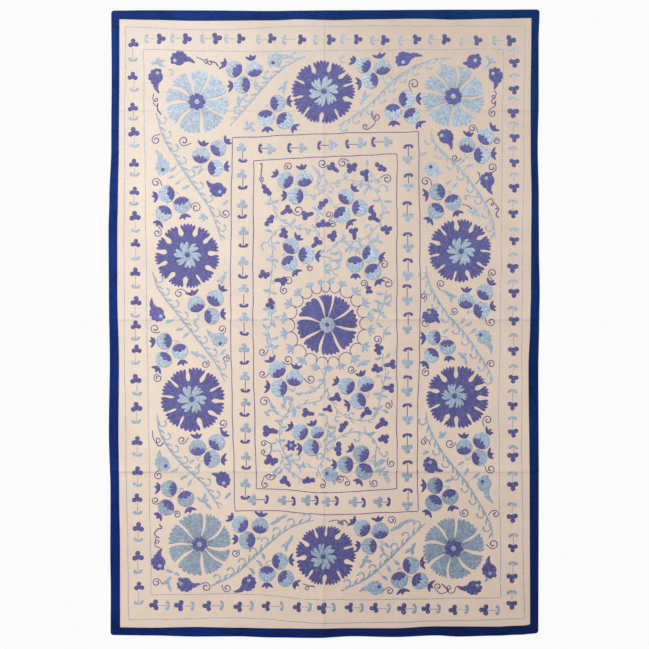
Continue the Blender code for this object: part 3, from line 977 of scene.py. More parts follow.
class SUZANI_OT_ground(bpy.types.Operator):
    """Lays the three loom widths of the ground on the part's creases"""

    bl_idname = "suzani.ground"
    bl_label = "Lay the ground cloth"

    def execute(self, context):
        cotton = materials()[GROUND]
        for name, edges in PANELS.items():
            piece = grid_piece("cloth_" + name, *PANEL_STEPS, panel_shape(*edges), cotton)
            thicken(piece, CLOTH)
            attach(piece, "root")
            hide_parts("ground_panel_" + name)
        return {"FINISHED"}


# The edging's section round its fold: place across in shares of its width, and height in metres.
SECTION = (
    (1.0, 0.0), (0.5, 0.0), (0.06, 0.0), (0.02, 0.0006), (0.0, 0.0018), (0.02, 0.0030), (0.07, 0.0037),
    (0.20, 0.0038), (0.36, 0.0038), (0.52, 0.0039), (0.68, 0.0038), (0.80, 0.0037), (0.90, 0.0033),
    (0.95, 0.0036), (0.99, 0.0034), (1.0, 0.0027), (0.97, 0.0025), (0.5, 0.0025), (0.05, 0.0024),
    (0.05, 0.0011), (0.5, 0.0011), (0.97, 0.0011),
)


# How far the middle of a rounded corner stands in from each of its two sides.
CORNER_CUT = CORNER_RADIUS * (1 - math.sqrt(0.5))


def corner(across, along):
    """Outer and inner point of the mitre at a corner, as in the part."""
    v = (along + 1) / 2
    x = left_x(v) if across < 0 else right_x(v)
    y = bottom_y(x) if along < 0 else top_y(x)
    upright = read_side(LEFT_SIDE if across < 0 else RIGHT_SIDE, v, 2)
    level = read_side(BOTTOM_SIDE if along < 0 else TOP_SIDE, x / WIDTH + 0.5, 2)
    outer = (x - across * CORNER_CUT, y - along * CORNER_CUT)
    return np.array(outer), np.array((x - across * upright, y - along * level))


def round_off(distance):
    """How far the rounded corner stands in, at a distance along the side from its corner."""
    inside = np.clip(1 - distance / CORNER_RADIUS, 0, 1)
    return CORNER_RADIUS * (1 - np.sqrt(1 - inside**2))


# Each strip: the corners at its ends, which way it faces, its outline, and its table of insets and widths.
STRIPS = {
    "left": ((-1, -1), (-1, 1), -1, left_x, LEFT_SIDE),
    "right": ((1, -1), (1, 1), 1, right_x, RIGHT_SIDE),
    "bottom": ((-1, -1), (1, -1), -1, bottom_y, BOTTOM_SIDE),
    "top": ((-1, 1), (1, 1), 1, top_y, TOP_SIDE),
}
UPRIGHT = ("left", "right")


def edging_rails(name, s):
    """The outer and inner edge of an edging strip at shares s of its length."""
    low_end, high_end, hand, outline, side = STRIPS[name]
    upright = name in UPRIGHT
    axis = 1 if upright else 0
    rails = []
    for low, high, folded_in in zip(corner(*low_end), corner(*high_end), (False, True)):
        along = mix(low[axis], high[axis], s)
        share = (along + LENGTH / 2) / LENGTH if upright else along / WIDTH + 0.5
        if folded_in:
            inset = read_side(side, share, 2)
        else:
            to_corner = np.minimum(along - low[axis], high[axis] - along)
            inset = round_off(to_corner + CORNER_CUT)
        across = outline(share if upright else along) - hand * inset
        rail = np.stack((across, along) if upright else (along, across), 1)
        rail[0], rail[-1] = low, high
        rails.append(rail)
    return rails


class SUZANI_OT_edging(bpy.types.Operator):
    """Folds the four strips of blue cotton over the raw edge"""

    bl_idname = "suzani.edging"
    bl_label = "Fold the edging"

    def execute(self, context):
        cotton = materials()[EDGING]
        section = np.array(SECTION)
        across, height = section.T[:, None, :]
        for k, name in enumerate(STRIPS):
            length, steps = (LENGTH, 420) if name in UPRIGHT else (WIDTH, 290)
            s = np.linspace(0, 1, steps)
            outer, inner = edging_rails(name, s)
            run = s * length
            x = mix(outer[:, :1], inner[:, :1], across)
            y = mix(outer[:, 1:], inner[:, 1:], across)
            v = np.clip((y - bottom_y(x)) / (top_y(x) - bottom_y(x)), 0, 1)
            lift = crease_height((x - left_x(v)) / (right_x(v) - left_x(v)), v)
            # Puckers that the hand stitching pulls across the strip.
            pucker = 0.00035 * np.sin(run * 210 + 3 * k + 2.5 * np.sin(run * 23)) * np.sin(run * 57 + k)
            pucker = pucker[:, None] * np.where((across > 0.1) & (height > 0.003), 1 - 0.3 * across, 0)
            z = height + lift + pucker
            ring = len(section)
            points = np.stack((x, y, z), -1).reshape(-1, 3)
            first, around = np.arange(steps - 1)[:, None] * ring, np.arange(ring)
            a, b = first + around, first + (around + 1) % ring
            faces = np.stack((a, b, b + ring, a + ring), -1).reshape(-1, 4).tolist()
            mesh = bpy.data.meshes.new("folded_edging_" + name)
            caps = [list(range(ring)), list(range((steps - 1) * ring, steps * ring))]
            mesh.from_pydata(points.tolist(), [], faces + caps)
            mesh.materials.append(cotton)
            piece = new_object(mesh.name, mesh)
            pick(piece)
            bpy.ops.object.mode_set(mode="EDIT")
            bpy.ops.mesh.select_all(action="SELECT")
            bpy.ops.mesh.normals_make_consistent(inside=False)
            bpy.ops.object.mode_set(mode="OBJECT")
            bpy.ops.object.shade_smooth_by_angle(angle=math.radians(50))
            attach(piece, "root")
            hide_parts("edging_" + name)
        return {"FINISHED"}


# Width of the sewn stems of sprigs and fruits, in metres.
STEM_WIDTH = 0.0040


def sew(name, thread):
    """Starts a piece of sewing; finish it with done()."""
    piece = Sewing()
    piece.name, piece.thread = name, thread
    return piece


def done(*pieces):
    for piece in pieces:
        if piece.count:
            slot = "indigo_thread" if piece.thread == INDIGO else "sky_thread"
            piece.finish(piece.name, materials()[piece.thread], slot)


class SUZANI_OT_lines(bpy.types.Operator):
    """Sews the straight lines that frame the borders"""

    bl_idname = "suzani.lines"
    bl_label = "Sew the frame lines"

    def execute(self, context):
        wide = context.scene.suzani_sizes.line_width
        tables = (("sky", SKY, LINES_SKY, wide), ("indigo", INDIGO, LINES_INDIGO, wide * 1.3))
        for name, thread, table, width in tables:
            piece = sew("frame_lines_" + name, thread)
            for number, line in enumerate(table):
                points = [at(*p) for p in line]
                # A hand-sewn line wavers a little.
                path, share = smooth_path(points, 0.04)
                side = left_of(points[-1] - points[0])
                side = side / np.hypot(*side)
                waver = 0.0009 * np.sin(share * (31 + number)) + 0.0006 * np.sin(share * 83 + number)
                piece.line(path + waver[:, None] * side, width, height=0.0007, tone=0.25)
            done(piece)
        return {"FINISHED"}


class SUZANI_OT_border_sprigs(bpy.types.Operator):
    """Sews the rows of trefoils and anchors in the two borders"""

    bl_idname = "suzani.border_sprigs"
    bl_label = "Sew the border sprigs"

    def execute(self, context):
        rng = np.random.default_rng(5)
        for label, rows in SPRIG_ROWS.items():
            thread = INDIGO if label.endswith("indigo") else SKY
            buds = label in ("outer_indigo", "inner_sky")
            piece = sew(label + ("_trefoils" if buds else "_anchors"), thread)
            for first, last, degrees, places in rows:
                upright = degrees in (90, 270)
                for k, along in enumerate(places):
                    across = mix(first, last, k / (len(places) - 1)) + rng.uniform(-0.7, 0.7)
                    place = (across, along) if upright else (along, across)
                    turn = degrees + rng.uniform(-8, 8)
                    tone = rng.uniform(0.1, 0.35) if thread == INDIGO else rng.uniform(0.2, 0.6)
                    size = rng.uniform(0.88, 1.04)
                    if buds:
                        trefoil(piece, place, turn, size, tone)
                    else:
                        anchor(piece, place, turn, tone, size)
                        # The stem runs to the trefoil that the anchor holds.
                        stem = turned(((-0.5, 0.0), (12.0, 0.0)), degrees)
                        piece.line([at(*place) + p for p in stem], STEM_WIDTH, height=0.0008, tone=tone)
            done(piece)
        return {"FINISHED"}


class SUZANI_OT_rosettes(bpy.types.Operator):
    """Sews the eleven large rosettes and the scalloped ring in the middle"""

    bl_idname = "suzani.rosettes"
    bl_label = "Sew the rosettes"

    def execute(self, context):
        swirls, eyes = sew("swirl_rosettes", SKY), sew("rosette_eyes", INDIGO)
        middles = sew("rosette_middles", SKY)
        for k, (place, radius, rims, rings, ring) in enumerate(SWIRLS):
            swirl_rosette(swirls, place, radius, rims, rings, ring, SWIRL_TONES[k], k)
            flower_disc(eyes, place, ring * 1.2, 8, start=k * 13)
            flower_disc(middles, place, 2.9, 0, tone=0.6, height=0.0026)
        swirl_rosette(eyes, *CENTRE_SWIRL, 0.45, 9, teeth=5, depth=2.4, slim=0.72)
        flower_disc(middles, CENTRE_SWIRL[0], 8.8, 8, tone=0.2)
        flower_disc(eyes, CENTRE_SWIRL[0], 2.4, 0, height=0.0026)
        middle = at(*CENTRE_SWIRL[0])
        reach = SCALLOP_RADIUS * UNIT
        a_before = SCALLOP_CUSPS[-1] + 360
        for a, b in zip(SCALLOP_CUSPS, SCALLOP_CUSPS[1:] + (SCALLOP_CUSPS[0] - 360,)):
            # Where the cusps stand close together, their leaves are small.
            room = min(1.0, min(a_before - a, a - b) / 19)
            a_before = a
            arc = [middle + aim(mix(a, b, t)) * (reach + (0.9 - 7.0 * deep) * UNIT) for t, deep in SCALLOP]
            eyes.line(arc, 0.0042, height=0.0008, tone=0.05, step=0.0025)
            tip = middle + aim(a) * (reach + 2.7 * UNIT)
            middles.lobed(tip, [(0.0, 0.0, 2.2 * UNIT)], tone=0.5, samples=14, rings=1)
            for spread in (-60, -20, 20, 60):
                end = tip + aim(a + spread) * 7.2 * room * UNIT
                leaf(middles, tip, end, 3.9 * room * UNIT, tone=0.5, bend=0)
        halves = {False: sew("toothed_rosettes_upper", INDIGO), True: sew("toothed_rosettes_lower", INDIGO)}
        for k, (place, radius, slots, slits, eye, small) in enumerate(TOOTHED):
            lower = place[1] > CHART_MIDDLE[1]
            toothed_rosette(halves[lower], place, radius, slots, 0.45, 20 + k, 18.8 if lower else 20.4)
            inner_flower(middles, eye, small, slits, 0.6, 40 + k)
            flower_disc(eyes, eye, 2.9, 0, height=0.0026)
        done(swirls, eyes, middles, *halves.values())
        return {"FINISHED"}


class SUZANI_OT_fruits(bpy.types.Operator):
    """Sews the groups of three pomegranates with their caps, crowns and stems"""

    bl_idname = "suzani.fruits"
    bl_label = "Sew the pomegranates"

    def execute(self, context):
        rng = np.random.default_rng(11)
        discs, caps = sew("pomegranate_discs", SKY), sew("pomegranate_caps", INDIGO)
        crowns, stems = sew("pomegranate_crowns", INDIGO), sew("pomegranate_stems", SKY)
        for k, group in enumerate(FRUITS):
            joint = group[3]
            for n, place in enumerate(group[:3]):
                tone = rng.uniform(0.45, 0.85)
                tone += (0.15 if k >= FIRST_MIDDLE_GROUP else 0.0) - (0.6 if k in DULL_GROUPS else 0.0)
                fruit(discs, caps, crowns, place, joint, tone, 100 + 3 * k + n)
                start, end = at(*joint), at(*place[:2])
                side = left_of(end - start) * rng.uniform(-0.12, 0.12)
                stems.line([start, (start + end) / 2 + side, end], STEM_WIDTH, height=0.0008, tone=0.5)
        done(discs, caps, crowns, stems)
        return {"FINISHED"}


def curls_along(piece, path, hand, every, size, tone):
    """C-shaped curls on one side of a vine, and a small hook between each two."""
    for k, spot, t, left in stations(path, every * 0.5, every * 0.2, every / 2):
        n = hand * left
        if k % 2 == 0:
            turn = math.atan2(-n[1], -n[0]) + hand * np.linspace(-0.5, 4.1, 9)
            arc = spot + (n * 4.7 + t * 0.8) * UNIT + size * UNIT * np.stack((np.cos(turn), np.sin(turn)), 1)
            curl = np.concatenate(([spot - t * 2.4 * UNIT], arc))
            piece.line(curl, units(1.6, 2.0, 2.2, 3.0), tone=tone, step=0.0026)
        else:
            hook = [spot + (n * out + t * on) * UNIT for out, on in ((0, -1), (2.6, 1.8), (4.4, 5.0))]
            piece.line(hook, units(3.2, 2.8, 1.0), tone=tone)


class SUZANI_OT_vines(bpy.types.Operator):
    """Sews the vines of the field with their curls and hooks"""

    bl_idname = "suzani.vines"
    bl_label = "Sew the vines"

    def execute(self, context):
        piece = sew("field_vines", SKY)
        for hand, *places in FIELD_VINES:
            points = [at(*p) for p in places]
            path, _ = smooth_path(points, 0.003)
            piece.line(points, units(1.9, 2.7, 2.9, 2.3, 1.5), tone=0.3)
            curls_along(piece, path, hand, 15.5 * UNIT, 3.4, 0.4)
        done(piece)
        return {"FINISHED"}


# Small pointed leaves of the field, which stand on short stems beside the vines.
FIELD_LEAVES = (
    (172, 168.5), (171.5, 177), (177.5, 182.5), (185.5, 187.5), (195.5, 167), (201, 171.5), (225, 202.5),
    (169.5, 322), (197, 320.5), (179.5, 330), (186, 335.5), (223.5, 352), (174.5, 470), (184, 478),
    (189.5, 483), (192, 461.5), (199, 466), (228, 495.5), (264, 78.5), (257, 84.5), (390.5, 77),
    (385.5, 82.5), (423.5, 154), (462.5, 161), (469.5, 166), (448.5, 181.5), (455, 185.5), (462.5, 320.5),
    (468.5, 323.5), (445.5, 331), (473.5, 330.5), (426, 453), (461, 463.5), (467, 471.5), (476.5, 475.5),
    (448.5, 481), (169.5, 570.5), (176.5, 574), (252, 571.5), (263, 556.5), (259.5, 563.5), (387, 544.5),
    (382, 549.5), (397, 563), (389.5, 569), (384.5, 578.5), (487, 579.5),
)
# Leaves with a lobed side: middle, tip of the tail, spot.
LOBED_INDIGO = (
    ((179, 59.5), (195, 63), (173.5, 61)), ((157, 77), (159, 93.5), (158, 72)),
    ((404, 60), (422.5, 56), (403, 63)), ((473, 60.5), (462.5, 63), (476, 60.5)),
    ((494.5, 76), (494, 89.5), (492.5, 73)), ((445, 137.5), (451.5, 150), (440.5, 135)),
    ((488.5, 180.5), (492.5, 194.5), (485.5, 177.5)), ((218, 188.5), (206.5, 180.5), (220.5, 193)),
    ((158, 313), (151.5, 298), (162, 317.5)), ((222, 480), (211.5, 473.5), (224.5, 484)),
    ((159.5, 562), (162, 548), (160, 567)), ((185.5, 583.5), (200, 583.5), (179.5, 583.5)),
    ((247.5, 582.5), (233.5, 592), (249.5, 580)), ((430.5, 317), (439.5, 323.5), (429, 311)),
    ((431.5, 464.5), (443, 471), (430, 461.5)), ((490.5, 570), (489.5, 555.5), (490, 574.5)),
    ((473.5, 586.5), (456.5, 586), (478.5, 585)),
)
LOBED_SKY = (
    ((276, 61), (292, 57.5), (272, 63.5)), ((161, 167), (155, 149), (163.5, 170.5)),
    ((219.5, 338.5), (206.5, 329), (220.5, 345)), ((163.5, 463), (159.5, 449.5), (166.5, 467)),
    ((433, 169), (443.5, 173), (430, 166)), ((483, 338), (491.5, 354.5), (479.5, 334)),
    ((485.5, 483.5), (493.5, 503.5), (481.5, 481)), ((375, 589), (359, 591.5), (380.5, 586)),
    ((329.5, 475.5), (334.5, 485), (326, 472.5)),
)
# Sprigs of long leaves: middle, then the leaf tips.
SPRIGS = (
    ((157, 62), (150, 63), (165.5, 66), (159.5, 57.5), (165, 60)),
    ((490.5, 62), (493, 58.5), (496, 63), (484.5, 55), (482, 70.5)),
    ((284, 86), (287.5, 80.5), (282.5, 94), (278, 90.5)),
    ((238.5, 103), (239, 95.5), (237.5, 111.5), (246, 97)),
    ((249.5, 127), (254, 122), (243, 129), (255, 131), (246, 121)),
    ((363.5, 98.5), (365.5, 90.5), (361, 105), (371.5, 95)),
    ((203.5, 216), (202, 213), (198.5, 219), (208, 219), (203.5, 222)),
    ((223.5, 277), (225.5, 271), (222, 285), (216.5, 281.5)),
    ((197.5, 355), (190.5, 351.5), (206.5, 360), (196, 351)),
    ((203, 500.5), (205, 492.5), (197, 497), (211.5, 509.5), (208.5, 500)),
    ((475, 210.5), (466.5, 210.5), (473.5, 206), (479.5, 217), (472, 215.5)),
    ((449, 294), (440.5, 290.5), (457.5, 297), (451, 303)),
    ((462.5, 356), (458, 352.5), (466.5, 353.5), (466.5, 365.5)),
    ((442.5, 436), (440, 431), (445.5, 431), (438, 437)),
    ((167.5, 581.5), (162.5, 584.5), (171.5, 576.5), (171.5, 591.5)),
    ((278.5, 519.5), (269.5, 524.5), (287.5, 515.5), (276.5, 522.5)),
    ((288, 543), (292.5, 534.5), (281, 547), (286.5, 551.5)),
    ((401, 524.5), (390, 531), (415, 520), (398, 529)),
    ((412, 549), (415.5, 542.5), (405, 553.5), (412, 555)),
    ((364.5, 560.5), (368, 555), (359, 568), (372.5, 561.5)),
)
# Spirals: middle, radius, start of the tendril.
SPIRALS = (
    ((414, 84), 4.7, (411.5, 92)), ((376.5, 117), 3.3, (371.5, 111.5)), ((365.5, 126.5), 3, (371.5, 111.5)),
    ((472.5, 128.5), 3.5, (477.5, 132)), ((496.5, 141), 3, (494.5, 138.5)), ((156, 140), 4, (160.5, 134.5)),
    ((184, 141), 4.5, (191.5, 143)), ((156, 182.5), 4, (162, 186)), ((196, 207.5), 4.6, (191, 208.5)),
    ((225.5, 213.5), 4, (219, 213.5)), ((157.5, 233), 3.6, (158, 226)), ((179, 293.5), 3.8, (187.5, 293)),
    ((155, 328.5), 4, (160.5, 332)), ((158, 378), 3.8, (158, 373.5)), ((205.5, 364), 3.5, (207.5, 360)),
    ((222, 329), 3.5, (221, 335.5)), ((226, 358.5), 3.2, (226, 354)), ((158.5, 475.5), 3.8, (161, 469.5)),
    ((182, 440), 3.7, (188.5, 437)), ((223, 423.5), 3.8, (219, 428.5)),
    ((155.5, 500.5), 3.3, (159.5, 503.5)), ((492, 167.5), 4, (490.5, 173)), ((455, 158), 3, (461.5, 158)),
    ((425.5, 181.5), 4, (432, 186.5)), ((441, 284), 3.7, (440.5, 290)), ((423.5, 296.5), 3, (424, 302)),
    ((492.5, 273), 3.8, (492.5, 280)), ((454, 311), 3.3, (450, 313.5)), ((425, 323), 3.8, (425.5, 319.5)),
    ((491, 322), 3.8, (485, 318)), ((491, 364), 3.5, (486.5, 365.5)), ((426, 372.5), 3.7, (427.5, 367)),
    ((450, 443.5), 4, (455.5, 442)), ((424, 442), 3.2, (430.5, 445.5)), ((487.5, 420), 4, (484, 427)),
    ((490.5, 469), 4, (484.5, 465)), ((177, 514.5), 3.2, (174, 513)), ((156.5, 582.5), 3.8, (162.5, 584.5)),
    ((206, 587), 4.2, (199, 585)), ((227, 588), 3.8, (222, 584.5)), ((235.5, 553), 3.6, (238, 549)),
    ((391.5, 520), 3.7, (394.5, 524)), ((389.5, 591), 3.3, (383, 591)), ((464.5, 512.5), 4, (459.5, 511)),
    ((495.5, 514), 3.4, (488, 515.5)), ((493, 544), 4.5, (486, 544)), ((437.9, 586.6), 3.5, (449, 591)),
    ((492.4, 113.3), 3.5, (495.2, 106.3)), ((288.5, 166.5), 3.6, (286, 170.5)),
    ((298, 210.5), 4.8, (291, 208.5)), ((322.5, 163.5), 4, (328.5, 164.5)),
    ((342.5, 163), 4, (349.5, 161.5)), ((387, 179), 4, (380, 178)), ((329, 215), 3.3, (328.5, 221)),
    ((332.5, 224.5), 2.9, (328.5, 221)), ((310, 268), 2.9, (309.5, 264)), ((288.5, 281), 4, (282.5, 284.5)),
    ((284, 290.5), 3.5, (282.5, 284.5)), ((384, 264.5), 4, (377, 267.5)), ((364, 283.5), 3.3, (367, 287)),
    ((388, 283.5), 4.3, (377, 281.5)), ((377.5, 339.5), 3.8, (378.5, 345)),
    ((262.5, 352), 3.5, (268.5, 349)), ((288, 360), 4.3, (282, 361.5)), ((262.5, 374), 3.3, (269.5, 372.5)),
    ((310.5, 379), 4, (303.5, 378)), ((351.5, 369.5), 3.6, (356, 369.5)), ((264.5, 401.5), 4.4, (270, 403)),
    ((388.5, 405), 3.3, (391.5, 400)), ((264, 443.5), 3, (270.5, 453.5)),
    ((263.5, 452), 2.5, (270.5, 453.5)), ((391, 463.5), 3.5, (388.5, 457.5)),
    ((269, 476.5), 3, (276.5, 475.5)), ((265, 484.5), 3.3, (276.5, 475.5)),
    ((322.5, 485.5), 2.5, (321.5, 478.5)), ((340, 478.5), 3.6, (336, 479)), ((347, 483), 3, (336, 479)),
    ((374, 483), 3.6, (370, 480.5)),
)
# Open curls of light thread: middle, radius, start.
SPIRALS_SKY = (
    ((342.7, 59.6), 3, (346, 63)), ((467.5, 197.4), 2.5, (480, 197)), ((170.6, 72), 2.4, (167.6, 69)),
    ((265.5, 246.5), 4.2, (272, 247)), ((382.5, 189.5), 4.6, (377, 194)), ((338, 183.5), 2.6, (341, 180)),
    ((330.5, 189.5), 2.6, (329.5, 184.5)), ((368.5, 227.5), 2.8, (372, 232)),
    ((324, 254), 3.2, (329.5, 258.5)), ((337.5, 419), 2.6, (341, 416)), ((351.5, 415.5), 2.8, (351.5, 419)),
    ((384, 453.5), 3, (377.5, 451.5)), ((357, 438.5), 2.8, (359, 432)), ((319.8, 456.4), 2.8, (323.7, 457)),
    ((275, 447), 4.2, (281, 452)), ((297, 457.5), 2.8, (292, 462)), ((287.3, 462.2), 2.6, (284.4, 454)),
)
# Bent blades of light thread in the middle: start, middle, tip, width.
BLADES = (
    ((317, 189), (320, 177), (311, 165), 4.2), ((319, 178), (324, 174), (322, 168), 3.0),
    ((320, 187), (327, 184), (324, 178), 2.8), ((356, 186), (364, 184), (372, 189), 3.6),
    ((336, 243), (342, 240), (343, 231), 3.2), ((346, 243), (351, 247), (349, 254), 3.2),
    ((338, 262), (341, 256), (338, 248), 4.0), ((331, 262), (336, 261), (339, 266), 3.0),
    ((333, 270), (338, 267), (341, 260), 3.2), ((331, 275), (326, 270), (324, 261), 3.6),
    ((368, 244), (374, 239), (383, 243), 3.2), ((322, 383), (314, 391), (302, 394), 3.4),
    ((357, 367), (363, 362), (371, 361), 4.4), ((280, 394), (285, 400), (282, 409), 4.6),
    ((287, 396), (292, 399), (290, 406), 4.2), ((266, 413), (271, 410), (277, 411), 3.6),
    ((293, 407), (295, 412), (292, 418), 4.4), ((281, 466), (275, 471), (273, 479), 4.2),
    ((287, 460), (291, 466), (288, 471), 3.2), ((293, 463), (299, 466), (301, 473), 3.0),
    ((328, 435), (334, 432), (336, 425), 3.4), ((327, 446), (331, 441), (338, 439), 3.2),
    ((372, 417), (377, 413), (375, 406), 3.4), ((372, 436), (366, 433), (364, 426), 3.2),
    ((377, 462), (383, 460), (389, 463), 3.6), ((380, 470), (386, 474), (389, 482), 3.2),
    ((268, 318), (273, 312), (276, 303), 3.2), ((384, 316), (379, 309), (378, 300), 3.4),
    ((386, 305), (391, 300), (390, 293), 3.0), ((271, 347), (267, 341), (268, 332), 3.2),
)
# Tendrils with small loops, which run through these places.
TENDRILS = (
    ((196, 57), (203, 60), (206, 64), (208, 60), (205, 59.5), (210, 65), (212, 61.5), (209, 61.5),
     (215, 62.5), (218.5, 66.5)),
    ((154, 93.5), (153, 99.5), (157, 101.5), (157, 98), (153.5, 103), (157.5, 106.5), (158, 103),
     (157.5, 109), (161.5, 115)),
    ((494, 90), (496.5, 94.5), (492, 96), (494, 99), (495.5, 96), (491.5, 101.5), (494, 104),
     (495.5, 101), (495.2, 106.3)),
    ((475.5, 184.5), (479.5, 179), (479.5, 174.5), (477.5, 172)), ((462, 204.5), (467, 205.5), (472, 209)),
    ((486, 202.5), (491, 198.5), (494, 204), (491, 205.5), (493, 202.5), (497.5, 207), (495, 209),
     (499, 208.5), (496, 214.5), (499, 218)),
    ((152.5, 430.5), (153, 437), (156.5, 443), (160.5, 440.5), (157, 438), (157, 444), (160, 446),
     (164, 442.5)),
    ((160.5, 548), (155, 545.5), (156, 540), (159.5, 541.5), (156, 543), (156, 537), (159.5, 538),
     (154.5, 534), (158, 529), (162, 528), (159, 524)),
    ((302.5, 583.5), (308, 586), (308, 590), (305, 588.5), (308, 586), (315, 586.5)),
    ((328.5, 521.5), (337, 520), (340.5, 523.5), (337.5, 523), (341, 521), (343.5, 524.5), (341, 524),
     (344, 520), (348, 523.5)),
    ((456, 586.5), (454, 592), (450, 593), (446.5, 589), (449, 585.5), (451, 588.5), (447, 588.5),
     (441.5, 583.5), (449, 591)),
    ((264.5, 187.5), (259.5, 179), (263, 177.5), (262.5, 182), (261, 176), (262, 165), (260, 163.5)),
)
# Buds of the middle: across, down, aim, size.
BUDS = (
    (267, 190, 122, 1), (269, 220, 232, 1), (286.5, 210.5, 30, 1), (307, 215, 190, 1), (323, 204.5, 50, 1),
    (323, 224.5, 0, 1.1), (332.5, 235.5, 250, 1), (354, 233, 98, 1), (386, 229.5, -8, 1), (374, 218, 140, 1),
    (352, 167.5, 215, 1.1), (333, 168, 140, 1), (365.5, 175, 110, 1), (381, 167, 140, 1),
    (283.5, 233, -80, 1), (316.5, 242.5, 50, 1), (264.5, 274.5, 185, 1), (281, 280.5, -10, 1),
    (270.5, 303.5, -90, 1), (368.5, 289.5, -60, 0.8), (378.5, 349.5, 90, 1), (377.5, 368.5, 180, 1),
    (390.5, 364.5, 10, 1), (389, 388, -5, 1), (335.5, 398, 20, 1), (328, 409, 10, 0.8), (307.5, 413, 170, 1),
    (269.5, 431, 180, 1.25), (366, 412.5, 35, 1), (343.5, 427, 45, 1), (381.5, 424, 40, 1.1),
    (383.5, 439, 10, 1), (339, 449, 88, 1.1), (271.5, 460.5, 180, 1.2), (285.5, 481.5, 140, 1),
    (308.5, 481, 0, 1),
)
# The one small flower there.
SMALL_FLOWER = (291, 445.5)
# Thin vines of the middle, which run through these places.
MIDDLE_VINES = (
    ((269, 192), (277.5, 216), (290, 224.5), (316, 231.5)),
    ((290, 225), (272.5, 234.5), (273, 258), (269, 299)),
    ((324, 240), (316, 231.5), (317, 215), (323, 208.5)),
    ((329.5, 184.5), (346.5, 179.5), (373.5, 188.5), (382.5, 215), (364, 239), (336, 243.5), (329.5, 259),
     (335, 277)),
    ((366.5, 167.5), (373.5, 176), (375.5, 183.5)), ((326.5, 194), (333, 203.5), (334, 207.5)),
    ((311, 165), (319, 171), (317.5, 180.5), (319, 190.5), (325, 191)),
    ((304.5, 194.5), (316, 195), (325.5, 191)), ((343.5, 242.5), (354.5, 249), (356, 255)),
    ((345.5, 243.5), (360, 248.5), (374.5, 241.5), (383, 243.5)), ((269, 304), (271.5, 318), (269, 330)),
    ((268, 330), (270.5, 341), (273, 354)), ((384, 340), (384, 331), (390.5, 326)),
    ((377, 321), (383, 305), (387, 289)),
    ((317, 468.5), (292, 462), (280, 442), (283.5, 418), (300.5, 405), (319, 401), (324.5, 391.5),
     (323.5, 374), (316, 364.5)),
    ((321, 387.5), (314, 389), (307.5, 392.5)),
    ((326.5, 388.5), (336, 408.5), (351.5, 419), (373.5, 418), (381, 393.5), (385.5, 369.5), (379, 353)),
    ((326.5, 453.5), (339, 437), (359, 432), (375.5, 442), (375.5, 461), (384, 476.5), (388.5, 484)),
    ((326.5, 415.5), (328, 428.5), (323.5, 457.5), (318, 468), (321, 476.5)),
    ((281.5, 453.5), (285.5, 468), (298, 476.5), (299, 485)),
)
# Small pointed leaves of the middle.
MIDDLE_LEAVES = (
    (268, 204), (275.5, 201), (293, 221), (298, 228.5), (268, 231), (276.5, 243.5), (270, 259.5), (276, 261),
    (267, 290.5), (273.5, 293), (315, 208.5), (321, 213), (308.5, 232.5), (360, 184.5), (366, 191.5),
    (375.5, 201), (388, 201.5), (386.5, 213), (345, 175), (367.5, 162.5), (370.5, 182), (378, 181),
    (314, 198), (344, 237.5), (347, 250), (326.5, 265.5), (335, 253), (338, 260), (327, 271), (338, 268),
    (332, 279), (266, 309), (274, 312), (265, 319), (277, 317), (265, 326), (273, 325), (266, 335),
    (275, 338), (268, 346), (276, 347), (379, 293), (388, 296), (377, 302), (387, 305), (375, 311),
    (384, 315), (380, 325), (388, 334), (364, 364), (388, 355.5), (378, 358), (378.5, 376.5), (388, 377),
    (377, 394.5), (384, 397), (375.5, 408.5), (386, 411.5), (372.5, 433.5), (381, 463), (374.5, 464),
    (382, 468.5), (377, 471), (386, 473), (331.5, 427), (330.5, 435.5), (328.5, 459.5), (321, 414.5),
    (279.5, 471), (303.5, 465), (273, 405.5), (267, 413.5), (276, 412.5), (283, 406.5), (290.5, 403.5),
    (293.5, 413.5), (278.5, 420.5), (283.5, 427.5), (299, 393), (288, 397.5), (360, 243), (368, 249),
    (377, 238), (312, 391), (316, 368), (321, 380), (283, 440), (290, 455),
)


def sew_leaves(piece, places, vines, width, seed):
    """Small leaves that lean away from the nearest vine, each on a thin stem where the vine is close."""
    rng = np.random.default_rng(seed)
    vine = np.concatenate([smooth_path([at(*p) for p in line], 0.004)[0] for line in vines])
    for px, py in places:
        place = at(px, py)
        gaps = vine - place
        near = vine[int(np.argmin(np.hypot(*gaps.T)))]
        away = place - near
        far = np.hypot(*away)
        angle = heading(away) + rng.uniform(-25, 25) + (0 if far > 2 * UNIT else 60)
        half = aim(angle) * rng.uniform(3.0, 4.3) * UNIT
        tone = rng.uniform(0.35, 0.65)
        leaf(piece, place - half, place + half, width * UNIT, tone=tone, bend=rng.uniform(-0.15, 0.15))
        if 2.5 * UNIT < far < 14 * UNIT:
            piece.line([near, place - half * 0.6], 0.0030, height=0.0007, tone=tone)


